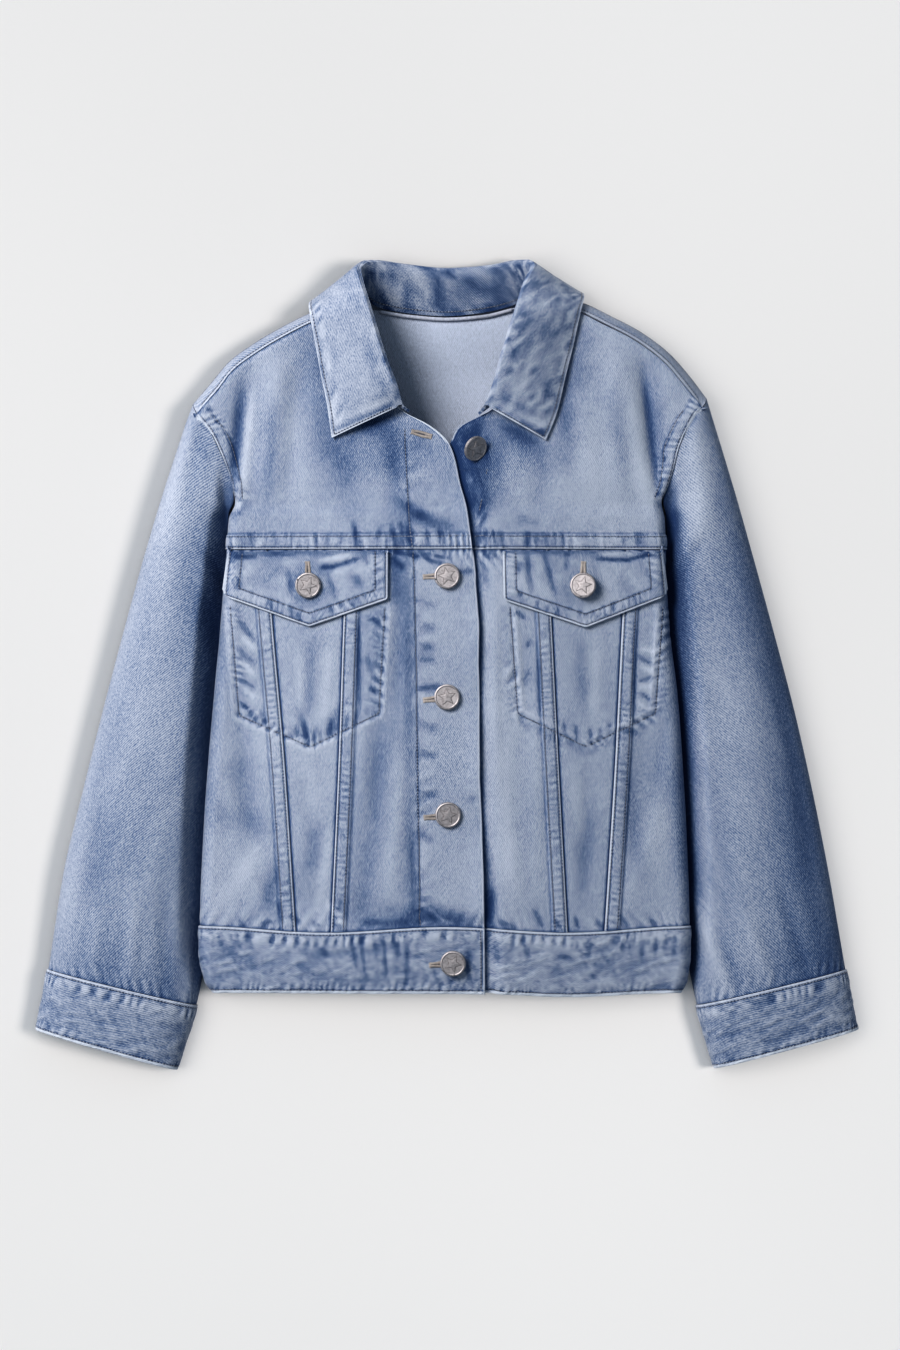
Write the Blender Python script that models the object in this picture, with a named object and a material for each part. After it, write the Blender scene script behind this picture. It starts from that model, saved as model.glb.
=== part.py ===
"""A child's denim jacket of the trucker cut, lying on its back, lightly filled out.

Tables and sizes are in millimetres; meshes are made in metres. +X is the wearer's left, +Y runs from
hem to collar and +Z points up, away from the surface that the jacket lies on. The origin is under the
middle of the whole jacket. Left and right are the wearer's, so the right side is at -X.
"""

import math
from collections import namedtuple

import bmesh
import bpy
import numpy as np

MM = 0.001

# Driving sizes
GAP = 0.3  # between neighbouring pieces
MITRE = 0.06  # share of a station by which the sleeve's inner skin starts later
ARMPIT_EASE = 0.5  # the yokes are cut back by this at the armpit
CLOTH = 1.2  # one layer of denim
SLEEVE_CLOTH = 1.0  # measured square to the folded-under side, which is thinner than flat cloth
SEAM_RISE = 0.9  # how far a lapped seam stands out
SEAM_WIDTH = 9.8  # a lapped seam with two rows of stitches
YOKE_SEAM = 77.0  # height of the seam under the front yokes and the back yoke
WAIST_SEAM = -174.5  # top of the waistband at the middle
WAIST_SAG = 4.0  # how far that seam dips between the middle and the sides
HEM = -219.5
ARMPIT = 108.5
BAND_RISE = 1.0  # waistband and cuffs stand out from the panels
BAND_INSIDE = 1.4
LAP_SINK = 2.1  # how far the under front lies below the over front
BAND_SINK = 2.8
PLACKET_RISE = 0.6
PLACKET_INSIDE = 1.5
SHOULDER_ROLL = 12.0  # radius of the cloth over the shoulder, seen from above
SHOULDER_SEAM = 7.0  # from the shoulder's top line to the shoulder seam
SHOULDER_LEVEL = 13.0  # height of the shoulder's top line above the floor
BACK_RAMP = 36.0  # width over which the back rises to the side fold
NECK_LIFT = 4.4  # room for the collar under the back neck
FLAP_GAP = 1.3
FLAP_CLOTH = 1.8
BAG_DEPTH = 2.9
COLLAR_CLOTH = 1.8
COLLAR_ROLL = 2.6
COLLAR_GAP = 1.4  # from the neck edge of a yoke to the middle of the collar's wall
BUTTON_RADIUS = 8.7
BUTTON_HEIGHT = 3.2
TAPE_RADIUS = 1.3

SIDES = {"right": -1, "left": 1}

# One row for each height: half-widths to the side fold (to the armhole above the armpit), the fold's
# radius and turn, the height of the front at its edge, its rise to the middle, the back's lift there.
Section = namedtuple("Section", "y right left roll turn edge crown lift")
BODY = [
    Section(-224, 153, 154, 7, 90, 23, 8, 8),
    Section(-219, 156.5, 157, 7.5, 90, 24, 9, 8),
    Section(-212, 161.5, 160.5, 8, 90, 25, 10, 8.5),
    Section(-190, 165.5, 163, 8.5, 90, 27, 12, 9),
    Section(-174, 165.5, 163, 9, 90, 28, 13, 9.5),
    Section(-110, 163, 161, 9.5, 90, 29, 14, 10),
    Section(-60, 159.5, 158, 10, 90, 30, 14, 10.5),
    Section(-20, 156, 155, 10, 90, 30, 14, 11),
    Section(24, 152, 149.5, 10, 90, 31, 14, 11),
    Section(60, 148.5, 147, 9.5, 90, 31, 14, 12),
    Section(80, 147.2, 146.9, 9, 90, 31, 13, 13),
    Section(98, 145.9, 146.2, 8.5, 90, 31, 12, 14),
    Section(ARMPIT, 141.8, 144.2, 8, 60, 30, 12, 13),
    Section(120, 143, 148, 8, 50, 30, 11, 6),
    Section(132, 147, 152, 7, 34, 29, 11, 2),
    Section(145, 152.5, 155.5, 6, 18, 28, 10, 0.5),
    Section(157, 158.5, 160.5, 5, 5, 27.5, 9, 0),
    Section(168, 167, 166.5, 5, 2, 27, 8, 0),
    Section(176, 170.2, 173.5, 5, 2, 27, 7, 0),
    Section(181, 170.2, 174.5, 5, 2, 27, 6, 0),
    Section(215, 170.2, 174.5, 5, 2, 27, 4, 0),
    Section(250, 170.2, 174.5, 5, 2, 28, 2, 0),
]

# The shoulders' top line, from the neck to the tip.
Shoulder = namedtuple("Shoulder", "right_x right_y left_x left_y")
SHOULDERS = [
    Shoulder(-30, 249, 30, 253),
    Shoulder(-66.5, 245, 66, 249.5),
    Shoulder(-91.5, 236.5, 92, 243),
    Shoulder(-107, 229, 111, 234),
    Shoulder(-131, 215, 130, 224),
    Shoulder(-146.5, 203.5, 150, 209),
    Shoulder(-157, 191, 162.5, 195),
    Shoulder(-170.2, 175.5, 174.5, 179.5),
]

# Front seams: the fold edges of the lapped seams beside the middle panels.
Seams = namedtuple("Seams", "y right_outer right_inner left_inner left_outer")
SEAMS = [
    Seams(-178, -100.4, -77.4, 81, 105.3),
    Seams(-62, -108, -72, 74.7, 112.6),
    Seams(31, -116.2, -68.7, 70, 117.3),
    Seams(77, -119.7, -66.7, 67.5, 120),
]

# Front edges, and the front neckline, by height.
Edge = namedtuple("Edge", "y x")
OVER_EDGE = [
    Edge(-225, 25.5),
    Edge(-175, 25),
    Edge(-116, 24),
    Edge(-87, 22.8),
    Edge(-62, 21.8),
    Edge(14, 21.8),
    Edge(58, 19.8),
    Edge(77, 17.2),
    Edge(104, 13.7),
    Edge(122, 9),
    Edge(135, 6.4),
    Edge(147, 2.3),
    Edge(153.5, -3),
    Edge(159.5, -10.7),
    Edge(168.2, -25.8),
    Edge(179, -39.2),
    Edge(196, -49.9),
    Edge(216, -58),
    Edge(234, -63.3),
    Edge(243, -66.7),
]
UNDER_EDGE = [
    Edge(-225, -19),
    Edge(58, -19),
    Edge(97, -12.4),
    Edge(131, -4.4),
    Edge(149.4, 3),
    Edge(158, 7.7),
    Edge(162.5, 14.4),
    Edge(166, 22),
    Edge(179, 38.5),
    Edge(196, 49.9),
    Edge(216, 58),
    Edge(234, 63),
    Edge(247, 66),
]

# Soft folds of the fronts: a line, how wide, and how high (a trough is below zero).
Fold = namedtuple("Fold", "x0 y0 x1 y1 width depth")
FOLDS = [
    Fold(-131, 203, -136, 122, 10, -2.4),
    Fold(-112, 205, -117, 110, 9, 1.8),
    Fold(-98, 200, -104, 118, 8, -1.6),
    Fold(131, 206, 139, 128, 10, -2.4),
    Fold(113, 205, 117, 112, 9, 1.6),
    Fold(-138, -20, -128, -120, 9, -1.4),
    Fold(-120, -150, -40, -172, 10, -1.2),
    Fold(134, -40, 120, -140, 10, -1.4),
    Fold(52, 30, 44, -120, 10, -0.8),
]

# Sleeves: plan points of the outer and inner edge, how far the section still follows the armhole,
# the heights of the two edge folds, and the height of the top.
Sleeve = namedtuple("Sleeve", "outer_x outer_y inner_x inner_y armhole outer_z inner_z height")
SLEEVES = {
    "right": [
        Sleeve(-170.2, 175.5, -141.5, 108.5, 1.0, 13, 22, 28),
        Sleeve(-174.2, 165.0, -145.5, 100.0, 0.75, 13, 16, 29),
        Sleeve(-181.2, 144.1, -146, 85.5, 0.35, 13, 11, 30),
        Sleeve(-192.0, 110.6, -142, 67, 0.06, 13, 7, 32),
        Sleeve(-202.0, 77.1, -135.5, 48, 0, 13, 5, 33),
        Sleeve(-216.7, 23.5, -134, 1.0, 0, 13, 4, 34),
        Sleeve(-230.8, -30.2, -138.5, -52.3, 0, 13, 4, 34),
        Sleeve(-244.2, -83.8, -147, -107.2, 0, 13, 4, 33),
        Sleeve(-256.9, -137.3, -155.5, -161.5, 0, 13, 5, 32),
        Sleeve(-267.7, -204.4, -168.3, -228.5, 0, 12, 9, 29),
        Sleeve(-275.7, -245.2, -181.9, -272, 0, 11, 10, 26),
    ],
    "left": [
        Sleeve(174.5, 179.5, 144, 108.5, 1.0, 13, 22, 28),
        Sleeve(178.3, 167.0, 146.3, 100.0, 0.75, 13, 16, 29),
        Sleeve(185.3, 144.1, 146.8, 85.5, 0.35, 13, 11, 30),
        Sleeve(195.3, 110.6, 142.5, 67, 0.06, 13, 7, 32),
        Sleeve(204.7, 77.1, 136.5, 48, 0, 13, 5, 33),
        Sleeve(219.4, 23.5, 135.5, 1.0, 0, 13, 4, 34),
        Sleeve(233.5, -30.2, 139, -52.3, 0, 13, 4, 34),
        Sleeve(245.6, -83.8, 147, -107.2, 0, 13, 4, 33),
        Sleeve(256.3, -137.3, 155.5, -161.5, 0, 13, 5, 32),
        Sleeve(268.0, -204.4, 168.3, -228.5, 0, 12, 9, 29),
        Sleeve(275.7, -245.2, 180.5, -271, 0, 11, 10, 26),
    ],
}
CUFF_SEAM = 9.0  # station of the cuff's seam, and the last station is its mouth
CUFF_MOUTH = 10.0
SLEEVE_CLEARANCE = 2.0  # under the body's side

# Collar: seam, roll line and free edge of each section, from the front end to the middle of the back,
# and how far the fall bulges up (or down, under the back).
Collar = namedtuple("Collar", "nx ny nz rx ry rz fx fy fz bulge")
COLLARS = {
    "right": [
        Collar(-25.0, 169.2, 37.0, -31.5, 175.0, 42.0, -76.4, 151.4, 35.5, 3),
        Collar(-38.2, 180.0, 35.5, -34.0, 186.5, 46.0, -79.4, 173.5, 33.8, 3),
        Collar(-48.8, 197.0, 33.5, -40.3, 203.0, 47.5, -83.4, 193.0, 32.5, 3),
        Collar(-56.8, 216.5, 31.5, -46.6, 223.0, 47.0, -87.2, 214.0, 31.8, 3),
        Collar(-61.0, 233.5, 30.0, -52.0, 241.0, 44.0, -90.5, 231.5, 31.0, 4),
        Collar(-63.0, 243.5, 23.0, -56.5, 255.5, 36.5, -92.0, 240.5, 20.0, 2),
        Collar(-60.5, 248.0, 15.0, -58.5, 265.0, 28.5, -91.5, 243.5, 11.0, 1),
        Collar(-54.5, 246.5, 9.5, -53.0, 270.0, 22.0, -88.0, 240.0, 3.0, -3),
        Collar(-47.5, 241.8, 6.6, -44.0, 270.5, 18.0, -76.0, 230.0, 1.2, -6.5),
        Collar(-28.0, 237.4, 5.8, -26.0, 268.5, 15.0, -44.0, 221.5, 1.2, -6.8),
        Collar(0.0, 235.2, 5.6, 0.0, 266.0, 14.0, 0.0, 219.5, 1.2, -6.8),
    ],
    "left": [
        Collar(21.5, 167.4, 37.0, 27.0, 175.0, 42.0, 66.0, 150.1, 36.5, 3),
        Collar(37.5, 180.0, 35.5, 31.8, 187.0, 46.0, 73.5, 169.0, 34.5, 3),
        Collar(48.8, 197.0, 33.5, 36.0, 203.0, 47.5, 79.0, 192.3, 33.2, 3),
        Collar(56.8, 217.0, 31.5, 41.5, 221.5, 47.0, 84.5, 214.5, 31.5, 3),
        Collar(60.5, 235.5, 30.0, 46.9, 238.0, 44.5, 89.0, 235.0, 31.5, 4),
        Collar(62.5, 247.5, 23.0, 52.0, 254.5, 36.5, 92.0, 246.0, 20.0, 2),
        Collar(60.0, 252.0, 15.0, 57.5, 266.5, 28.5, 91.5, 249.0, 11.0, 1),
        Collar(54.5, 249.5, 9.5, 52.5, 270.5, 22.0, 88.0, 244.5, 3.0, -3),
        Collar(47.5, 243.8, 6.6, 44.0, 270.5, 18.0, 76.0, 232.5, 1.2, -6.5),
        Collar(28.0, 238.2, 5.8, 27.0, 267.8, 15.0, 44.0, 222.0, 1.2, -6.8),
        Collar(0.0, 235.2, 5.6, 0.0, 266.0, 14.0, 0.0, 219.5, 1.2, -6.8),
    ],
}

# Columns of the yokes along the shoulder seam, as shares of the way from the middle to the tip.
SHOULDER_SHARES = [1, 0.95, 0.9, 0.83, 0.76, 0.69, 0.62, 0.56, 0.5, 0.45, 0.42, 0.396]
YOKE_SPLIT = 152.0  # above this height the front yokes' rows fan out to the shoulder seam

# Where the back yoke's top edge leaves the shoulder seam and crosses over to the back neckline.
NECK_SIDE = 68.5
NECK_FLAT = 57.0
YOKE_BEND = 0.62  # the share of the back yoke's rows that lie flat, before the shoulder's bend
Neck = namedtuple("Neck", "x y")
BACK_NECK = [
    Neck(-66, 241),
    Neck(-50, 239.6),
    Neck(-25, 235.8),
    Neck(0, 233.9),
    Neck(25, 235.8),
    Neck(50, 241.5),
    Neck(66, 243),
]

# Pocket flaps and bags: outline corners.
Flap = namedtuple("Flap", "outer_top outer_low outer_y point_x point_y inner_top inner_low inner_y top_y")
FLAPS = {
    "right": Flap(-144.5, -147.5, 45.5, -91, 25.5, -38.7, -38.8, 43.6, 75.6),
    "left": Flap(143.0, 145.5, 45.5, 92.5, 24.8, 37.3, 37.9, 43.0, 75.6),
}
Bag = namedtuple("Bag", "outer_top outer_low low_y point_x point_y inner_top inner_low top_y")
BAGS = {
    "right": Bag(-142.0, -139.5, -37.5, -91, -58.5, -41.5, -45.0, 74.0),
    "left": Bag(141.5, 139.5, -36.5, 92.5, -58.5, 42.5, 47.5, 74.0),
}

# Buttons: name, place, which layer they sit on.
Button = namedtuple("Button", "name x y rise")
BUTTONS = [
    Button("button_1", 0.3, 59.0, PLACKET_RISE),
    Button("button_2", 0.3, -21.4, PLACKET_RISE),
    Button("button_3", 1.0, -99.8, PLACKET_RISE),
    Button("button_waist", 4.4, -198.3, BAND_RISE),
    Button("button_flap_right", -91.5, 52.9, FLAP_GAP + FLAP_CLOTH),
    Button("button_flap_left", 90.1, 52.9, FLAP_GAP + FLAP_CLOTH),
    Button("button_neck", 19.5, 144.7, 0.3),
]


def curve(xs, ys):
    """A smooth curve through the points that never overshoots them; it is held level past its ends."""
    xs, ys = np.array(xs, float), np.array(ys, float)
    if xs[0] > xs[-1]:
        xs, ys = xs[::-1], ys[::-1]
    step = np.diff(xs)
    slope = np.diff(ys) / step
    tangent = np.zeros(len(xs))
    same = slope[:-1] * slope[1:] > 0
    w0, w1 = 2 * step[1:] + step[:-1], step[1:] + 2 * step[:-1]
    with np.errstate(divide="ignore", invalid="ignore"):
        mean = (w0 + w1) / (w0 / slope[:-1] + w1 / slope[1:])
    tangent[1:-1] = np.where(same, mean, 0)
    tangent[0], tangent[-1] = slope[0], slope[-1]

    def value(x):
        x = np.clip(np.asarray(x, float), xs[0], xs[-1])
        i = np.clip(np.searchsorted(xs, x, side="right") - 1, 0, len(xs) - 2)
        h = step[i]
        t = (x - xs[i]) / h
        a = (1 + 2 * t) * (1 - t) ** 2 * ys[i] + t * (1 - t) ** 2 * h * tangent[i]
        return a + t * t * (3 - 2 * t) * ys[i + 1] + t * t * (t - 1) * h * tangent[i + 1]

    return value


def column(table, key, name):
    return curve([getattr(row, key) for row in table], [getattr(row, name) for row in table])


def ease(t):
    t = np.clip(t, 0, 1)
    return t * t * (3 - 2 * t)


body = {name: column(BODY, "y", name) for name in Section._fields[1:]}
shoulder_line = {
    name: curve([getattr(r, name + "_x") for r in SHOULDERS], [getattr(r, name + "_y") for r in SHOULDERS])
    for name in SIDES
}
seam = {name: column(SEAMS, "y", name) for name in Seams._fields[1:]}
over_edge = column(OVER_EDGE, "y", "x")
under_edge = column(UNDER_EDGE, "y", "x")
back_neck = column(BACK_NECK, "x", "y")


def half_width(x, y):
    return np.where(x < 0, body["right"](y), body["left"](y))


def waist_line(x):
    return WAIST_SEAM - WAIST_SAG * np.sin(math.pi * x / 165) ** 2


def shoulder_depth(x, y):
    """Distance from the shoulder's top line, square to it."""
    top = np.where(x < 0, shoulder_line["right"](x), shoulder_line["left"](x))
    away = np.where(x < 0, shoulder_line["right"](x - 1), shoulder_line["left"](x + 1))
    return (top - y) / np.sqrt(1 + (top - away) ** 2)


def shoulder_round(x, y):
    near = np.clip(1 - shoulder_depth(x, y) / SHOULDER_ROLL, 0, 1)
    return np.sqrt(1 - near**2)


def fold_height(x, y):
    """What the soft folds add to the front's height."""
    total = np.zeros(np.broadcast(x, y).shape)
    for f in FOLDS:
        along = np.array([f.x1 - f.x0, f.y1 - f.y0])
        length = np.hypot(*along)
        t = ((x - f.x0) * along[0] + (y - f.y0) * along[1]) / length**2
        across = np.abs((x - f.x0) * along[1] - (y - f.y0) * along[0]) / length
        total = total + f.depth * np.exp(-((across / f.width) ** 2)) * np.exp(-((2 * t - 1) ** 4))
    return total


def front(a, y):
    """The front's outer surface. a runs across the cloth, from the middle round to the side fold."""
    roll, turn = body["roll"](y), np.radians(body["turn"](y))
    flat = half_width(a, y) - roll * np.sin(turn)
    angle = np.clip((np.abs(a) - flat) / roll, 0, None)
    x = np.where(angle > 0, flat + roll * np.sin(angle), np.abs(a)) * np.sign(a)
    middle = np.clip(1 - (x / flat) ** 2, 0, 1) ** 1.5
    z = body["edge"](y) + body["crown"](y) * middle - roll * (1 - np.cos(angle))
    z = z + fold_height(x, y) * np.cos(np.clip(angle, 0, math.pi / 2)) * shoulder_round(x, y)
    z = SHOULDER_LEVEL + (z - SHOULDER_LEVEL) * np.where(angle > 0.2, 1, shoulder_round(x, y))
    return np.stack([x, y + 0 * x, z], -1)


def front_end(side, y):
    """How far a reaches at the side fold or the armhole."""
    width, roll, turn = body[side](y), body["roll"](y), np.radians(body["turn"](y))
    return width - roll * np.sin(turn) + roll * turn


def cut_end(side, y):
    """Where the yokes are cut at the side seam and the armhole."""
    return front_end(side, y) - GAP / 2 - ARMPIT_EASE * np.exp(-(((y - ARMPIT) / 7) ** 2))


def back(a, y):
    """The back's outer surface, which faces the floor."""
    roll, turn = body["roll"](y), np.radians(body["turn"](y))
    flat = half_width(a, y) - roll * np.sin(turn)
    angle = np.clip((np.abs(a) - flat) / roll, 0, None)
    x = np.where(angle > 0, flat + roll * np.sin(angle), np.abs(a)) * np.sign(a)
    lift = body["lift"](y)
    fold_level = body["edge"](y) - roll
    z = lift * ease((np.abs(x) - flat + BACK_RAMP) / BACK_RAMP) + (fold_level - lift) * (1 - np.cos(angle))
    under_neck = ease((y - 198) / 16) * ease((122 - np.abs(x)) / 18)
    z = np.maximum(z, 0) + NECK_LIFT * under_neck
    z = SHOULDER_LEVEL - (SHOULDER_LEVEL - z) * np.where(angle > 0.2, 1, shoulder_round(x, y))
    return np.stack([x, y + 0 * x, z], -1)


def framed(surface, u, v, step, flip=1):
    """Points of a surface and its unit normals, which point out of the garment."""
    u, v = np.broadcast_arrays(np.asarray(u, float), np.asarray(v, float))
    across = surface(u + step, v) - surface(u - step, v)
    along = surface(u, v + step) - surface(u, v - step)
    normal = np.cross(across, along) * flip
    return surface(u, v), normal / np.linalg.norm(normal, axis=-1, keepdims=True)


def material(name, color, roughness, metallic=0.0):
    found = bpy.data.materials.get(name)
    if found:
        return found
    made = bpy.data.materials.new(name)
    made.use_nodes = True
    shader = made.node_tree.nodes["Principled BSDF"]
    shader.inputs["Base Color"].default_value = (*color, 1)
    shader.inputs["Roughness"].default_value = roughness
    shader.inputs["Metallic"].default_value = metallic
    return made


def denim():
    return material("denim", (0.27, 0.37, 0.55), 0.9)


def place(name, points, faces, look):
    """A new object from points in millimetres; its faces are turned to point out."""
    mesh = bpy.data.meshes.new(name)
    mesh.from_pydata([tuple(p) for p in np.asarray(points) * MM], [], faces)
    work = bmesh.new()
    work.from_mesh(mesh)
    if work.calc_volume(signed=True) < 0:
        bmesh.ops.reverse_faces(work, faces=work.faces)
    work.to_mesh(mesh)
    work.free()
    mesh.shade_smooth()
    mesh.materials.append(look)
    made = bpy.data.objects.new(name, mesh)
    bpy.context.scene.collection.objects.link(made)
    return made


def grid_faces(rows, columns, start, turned, closed=False):
    faces = []
    for i in range(rows - 1):
        for j in range(columns if closed else columns - 1):
            k = (j + 1) % columns
            a, b = start + i * columns + j, start + i * columns + k
            c, d = start + (i + 1) * columns + k, start + (i + 1) * columns + j
            faces.append((c, b, a, d) if turned else (a, b, c, d))
    return faces


def wall(name, points, normals, outside, inside, look=None, closed=False, lining=None):
    """A closed wall between two offsets of a grid of points, with its rim; lining gives the inner skin."""
    rows, columns = points.shape[:2]
    size = (rows, columns)
    outside, inside = (np.broadcast_to(np.asarray(h, float), size)[..., None] for h in (outside, inside))
    outer, inner = points + normals * outside, points + normals * inside
    inner = inner if lining is None else lining
    count = rows * columns
    faces = grid_faces(rows, columns, 0, False, closed) + grid_faces(rows, columns, count, True, closed)
    if closed:
        loops = [[i * columns + j for j in range(columns)] + [i * columns] for i in (0, rows - 1)]
        loops[0].reverse()
        rims = loops
    else:
        low, high = list(range(columns)), [(rows - 1) * columns + j for j in range(columns)]
        first, last = [i * columns for i in range(rows)], [i * columns + columns - 1 for i in range(rows)]
        rims = [low[::-1], last[::-1], high, first]
    for rim in rims:
        faces += [(p, q, q + count, p + count) for p, q in zip(rim, rim[1:])]
    return place(name, np.concatenate([outer.reshape(-1, 3), inner.reshape(-1, 3)]), faces, look or denim())


def spread(stops, counts):
    """Fractions from stop to stop, each stretch cut into its count of steps."""
    parts = [np.linspace(a, b, n, endpoint=False) for a, b, n in zip(stops, stops[1:], counts)]
    return np.append(np.concatenate(parts), stops[-1])


def across_columns(lines, counts):
    """Grid columns between boundary lines, each an array by row; each stretch has its count of steps."""
    made = []
    for a, b, n in zip(lines, lines[1:], counts):
        made += [a + (b - a) * k / n for k in range(n)]
    return np.stack([*made, lines[-1]], 1)


def lap(y, x, sink):
    """How far the under front lies below its own place, beneath the over front."""
    edge = over_edge(y)
    return -sink * (1 - ease((x - edge - 1.5) / 12))


def placket_rise(a, y):
    return PLACKET_RISE * ease(1 - (over_edge(y) - a) / 26)


def front_wall(name, a, y, outside, inside):
    points, normals = framed(front, a, y, 0.05)
    return wall(name, points, normals, outside, inside)


def panel_rows(count, low=None, high=None):
    low = WAIST_SEAM - WAIST_SAG / 2 if low is None else low
    high = YOKE_SEAM if high is None else high
    return np.linspace(low, high, count)


def panel_heights(a, rows):
    """Heights of a panel's points between the waistband seam and the yoke seam."""
    share = ((rows - rows[0]) / (rows[-1] - rows[0]))[:, None]
    low = waist_line(a) + GAP / 2
    return low + (YOKE_SEAM - GAP / 2 - low) * share


def side_panel(side):
    sign, rows = SIDES[side], panel_rows(10)
    fold = np.abs(seam[side + "_outer"](rows)) + GAP / 2
    end = front_end(side, rows) - GAP / 2
    shoulder = end - body["roll"](rows) * np.radians(body["turn"](rows))
    lines = [end, shoulder, fold + SEAM_WIDTH + 0.8, fold + SEAM_WIDTH, fold]
    a = across_columns(lines, [4, 3, 1, 2]) * sign
    rise = np.array([0] * 8 + [SEAM_RISE] * 3)
    front_wall("side_front_" + side, a, panel_heights(a, rows), rise, -CLOTH)


def middle_panel(side):
    sign, rows = SIDES[side], panel_rows(10)
    outer, inner = (np.abs(seam[side + part](rows)) for part in ("_outer", "_inner"))
    a = across_columns([outer - GAP / 2, inner + GAP / 2], [4]) * sign
    front_wall("middle_front_" + side, a, panel_heights(a, rows), 0, -CLOTH)


def centre_panel(side):
    sign, rows = SIDES[side], panel_rows(10)
    fold = np.abs(seam[side + "_inner"](rows)) - GAP / 2
    edge = over_edge(rows) * sign if side == "right" else under_edge(rows)
    seams = [fold, fold - SEAM_WIDTH, fold - SEAM_WIDTH - 0.8]
    if side == "right":
        lines = [*seams, edge + 26, edge]
        a = across_columns(lines, [2, 1, 4, 4]) * sign
        y = panel_heights(a, rows)
        over = placket_rise(a, y)
        inside = -CLOTH - (PLACKET_INSIDE - CLOTH) * (over > 0.01)
    else:
        hidden = over_edge(rows)
        lines = [*seams, hidden + 14, hidden + 1, edge]
        a = across_columns(lines, [2, 1, 3, 4, 3]) * sign
        y = panel_heights(a, rows)
        over = lap(y, a, LAP_SINK)
        inside = over - CLOTH
    rise = np.zeros(a.shape[1])
    rise[:3] = SEAM_RISE
    front_wall("centre_front_" + side, a, y, over + rise, inside)


def seam_height(side, depth):
    """Where a line at this depth under the shoulder's top line meets the armhole."""
    y = np.linspace(ARMPIT + 30, SLEEVES[side][0].outer_y, 600)
    return float(y[np.argmin(np.abs(shoulder_depth(front_end(side, y) * SIDES[side], y) - depth))])


def armhole_heights(side):
    """Heights along the armhole that the front yoke and the sleeve share, from the armpit up."""
    return spread([ARMPIT, YOKE_SPLIT, seam_height(side, SHOULDER_SEAM + GAP / 2)], [4, 1])


def shoulder_points(side, k, depth):
    """Plan points along the shoulder at a depth under its top line, for shares of the way to the tip."""
    x = k * SIDES[side] * body[side](250)
    top = shoulder_line[side](x)
    away = shoulder_line[side](x + SIDES[side])
    return x, top - depth * np.sqrt(1 + (top - away) ** 2)


def yoke(side):
    """A front yoke: level rows up to the split, then rows that fan out to the shoulder seam."""
    sign = SIDES[side]
    arm = armhole_heights(side)
    rows = np.concatenate([[YOKE_SEAM + GAP / 2, 86.5, 88, 98], arm[:-1]])
    outer = cut_end(side, rows) * sign
    if side == "right":
        inner = over_edge(rows)
        a = across_columns([outer, inner - 26, inner], [7, 4])
    else:
        inner, hidden = under_edge(rows), over_edge(rows) + 14
        turn = np.maximum(np.where(rows < 130, hidden, inner + 12), inner + 8)
        a = across_columns([outer, turn, np.maximum(turn - 13, inner + 3), inner], [6, 3, 2])
    y = np.broadcast_to(rows[:, None], a.shape)
    t = np.linspace(0, 1, 9)[1:, None]
    top_x, top_y = shoulder_points(side, np.array(SHOULDER_SHARES), SHOULDER_SEAM + GAP / 2)
    top_x[0] = sign * cut_end(side, arm[-1])
    top_y[0] = arm[-1]
    edge = over_edge if side == "right" else under_edge
    edge_y = YOKE_SPLIT + (top_y[-1] - YOKE_SPLIT) * t**0.9
    edge_x = edge(edge_y) + sign * COLLAR_GAP * ease((edge_y - 160) / 8)
    low_x, low_y = a[-1], y[-1]
    fan_x, fan_y = low_x + (top_x - low_x) * t, low_y + (top_y - low_y) * t
    arm_y = arm[-2] + (arm[-1] - arm[-2]) * t
    arm_x = sign * cut_end(side, arm_y)
    share = (low_x - low_x[0]) / (low_x[-1] - low_x[0])
    fan_x = fan_x + (1 - share) * (arm_x - fan_x[:, :1]) + share * (edge_x - fan_x[:, -1:])
    fan_y = fan_y + (1 - share) * (arm_y - fan_y[:, :1]) + share * (edge_y - fan_y[:, -1:])
    a, y = np.concatenate([a, fan_x]), np.concatenate([y, fan_y])
    if side == "right":
        over = placket_rise(a, y) * (y < 165)
        inside = -CLOTH - (PLACKET_INSIDE - CLOTH) * (over > 0.01)
        shown = 1
    else:
        over = lap(y, a, LAP_SINK) * ease((168 - y) / 8)
        inside = over - CLOTH
        shown = 1 + over / LAP_SINK
    rise = np.where(y < 87, SEAM_RISE, 0) * shown
    front_wall("front_yoke_" + side, a, y, over + rise, inside)


def back_panel():
    rows = panel_rows(10)
    right, left = (front_end(side, rows) - GAP / 2 for side in SIDES)
    roll, flat = body["roll"](rows) * math.pi / 2, BACK_RAMP + 14
    a = across_columns([-right, roll - right, flat - right, left - flat, left - roll, left], [3, 4, 4, 4, 3])
    points, normals = framed(back, a, panel_heights(a, rows), 0.05, -1)
    wall("back_panel", points, normals, 0, -CLOTH)


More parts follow.
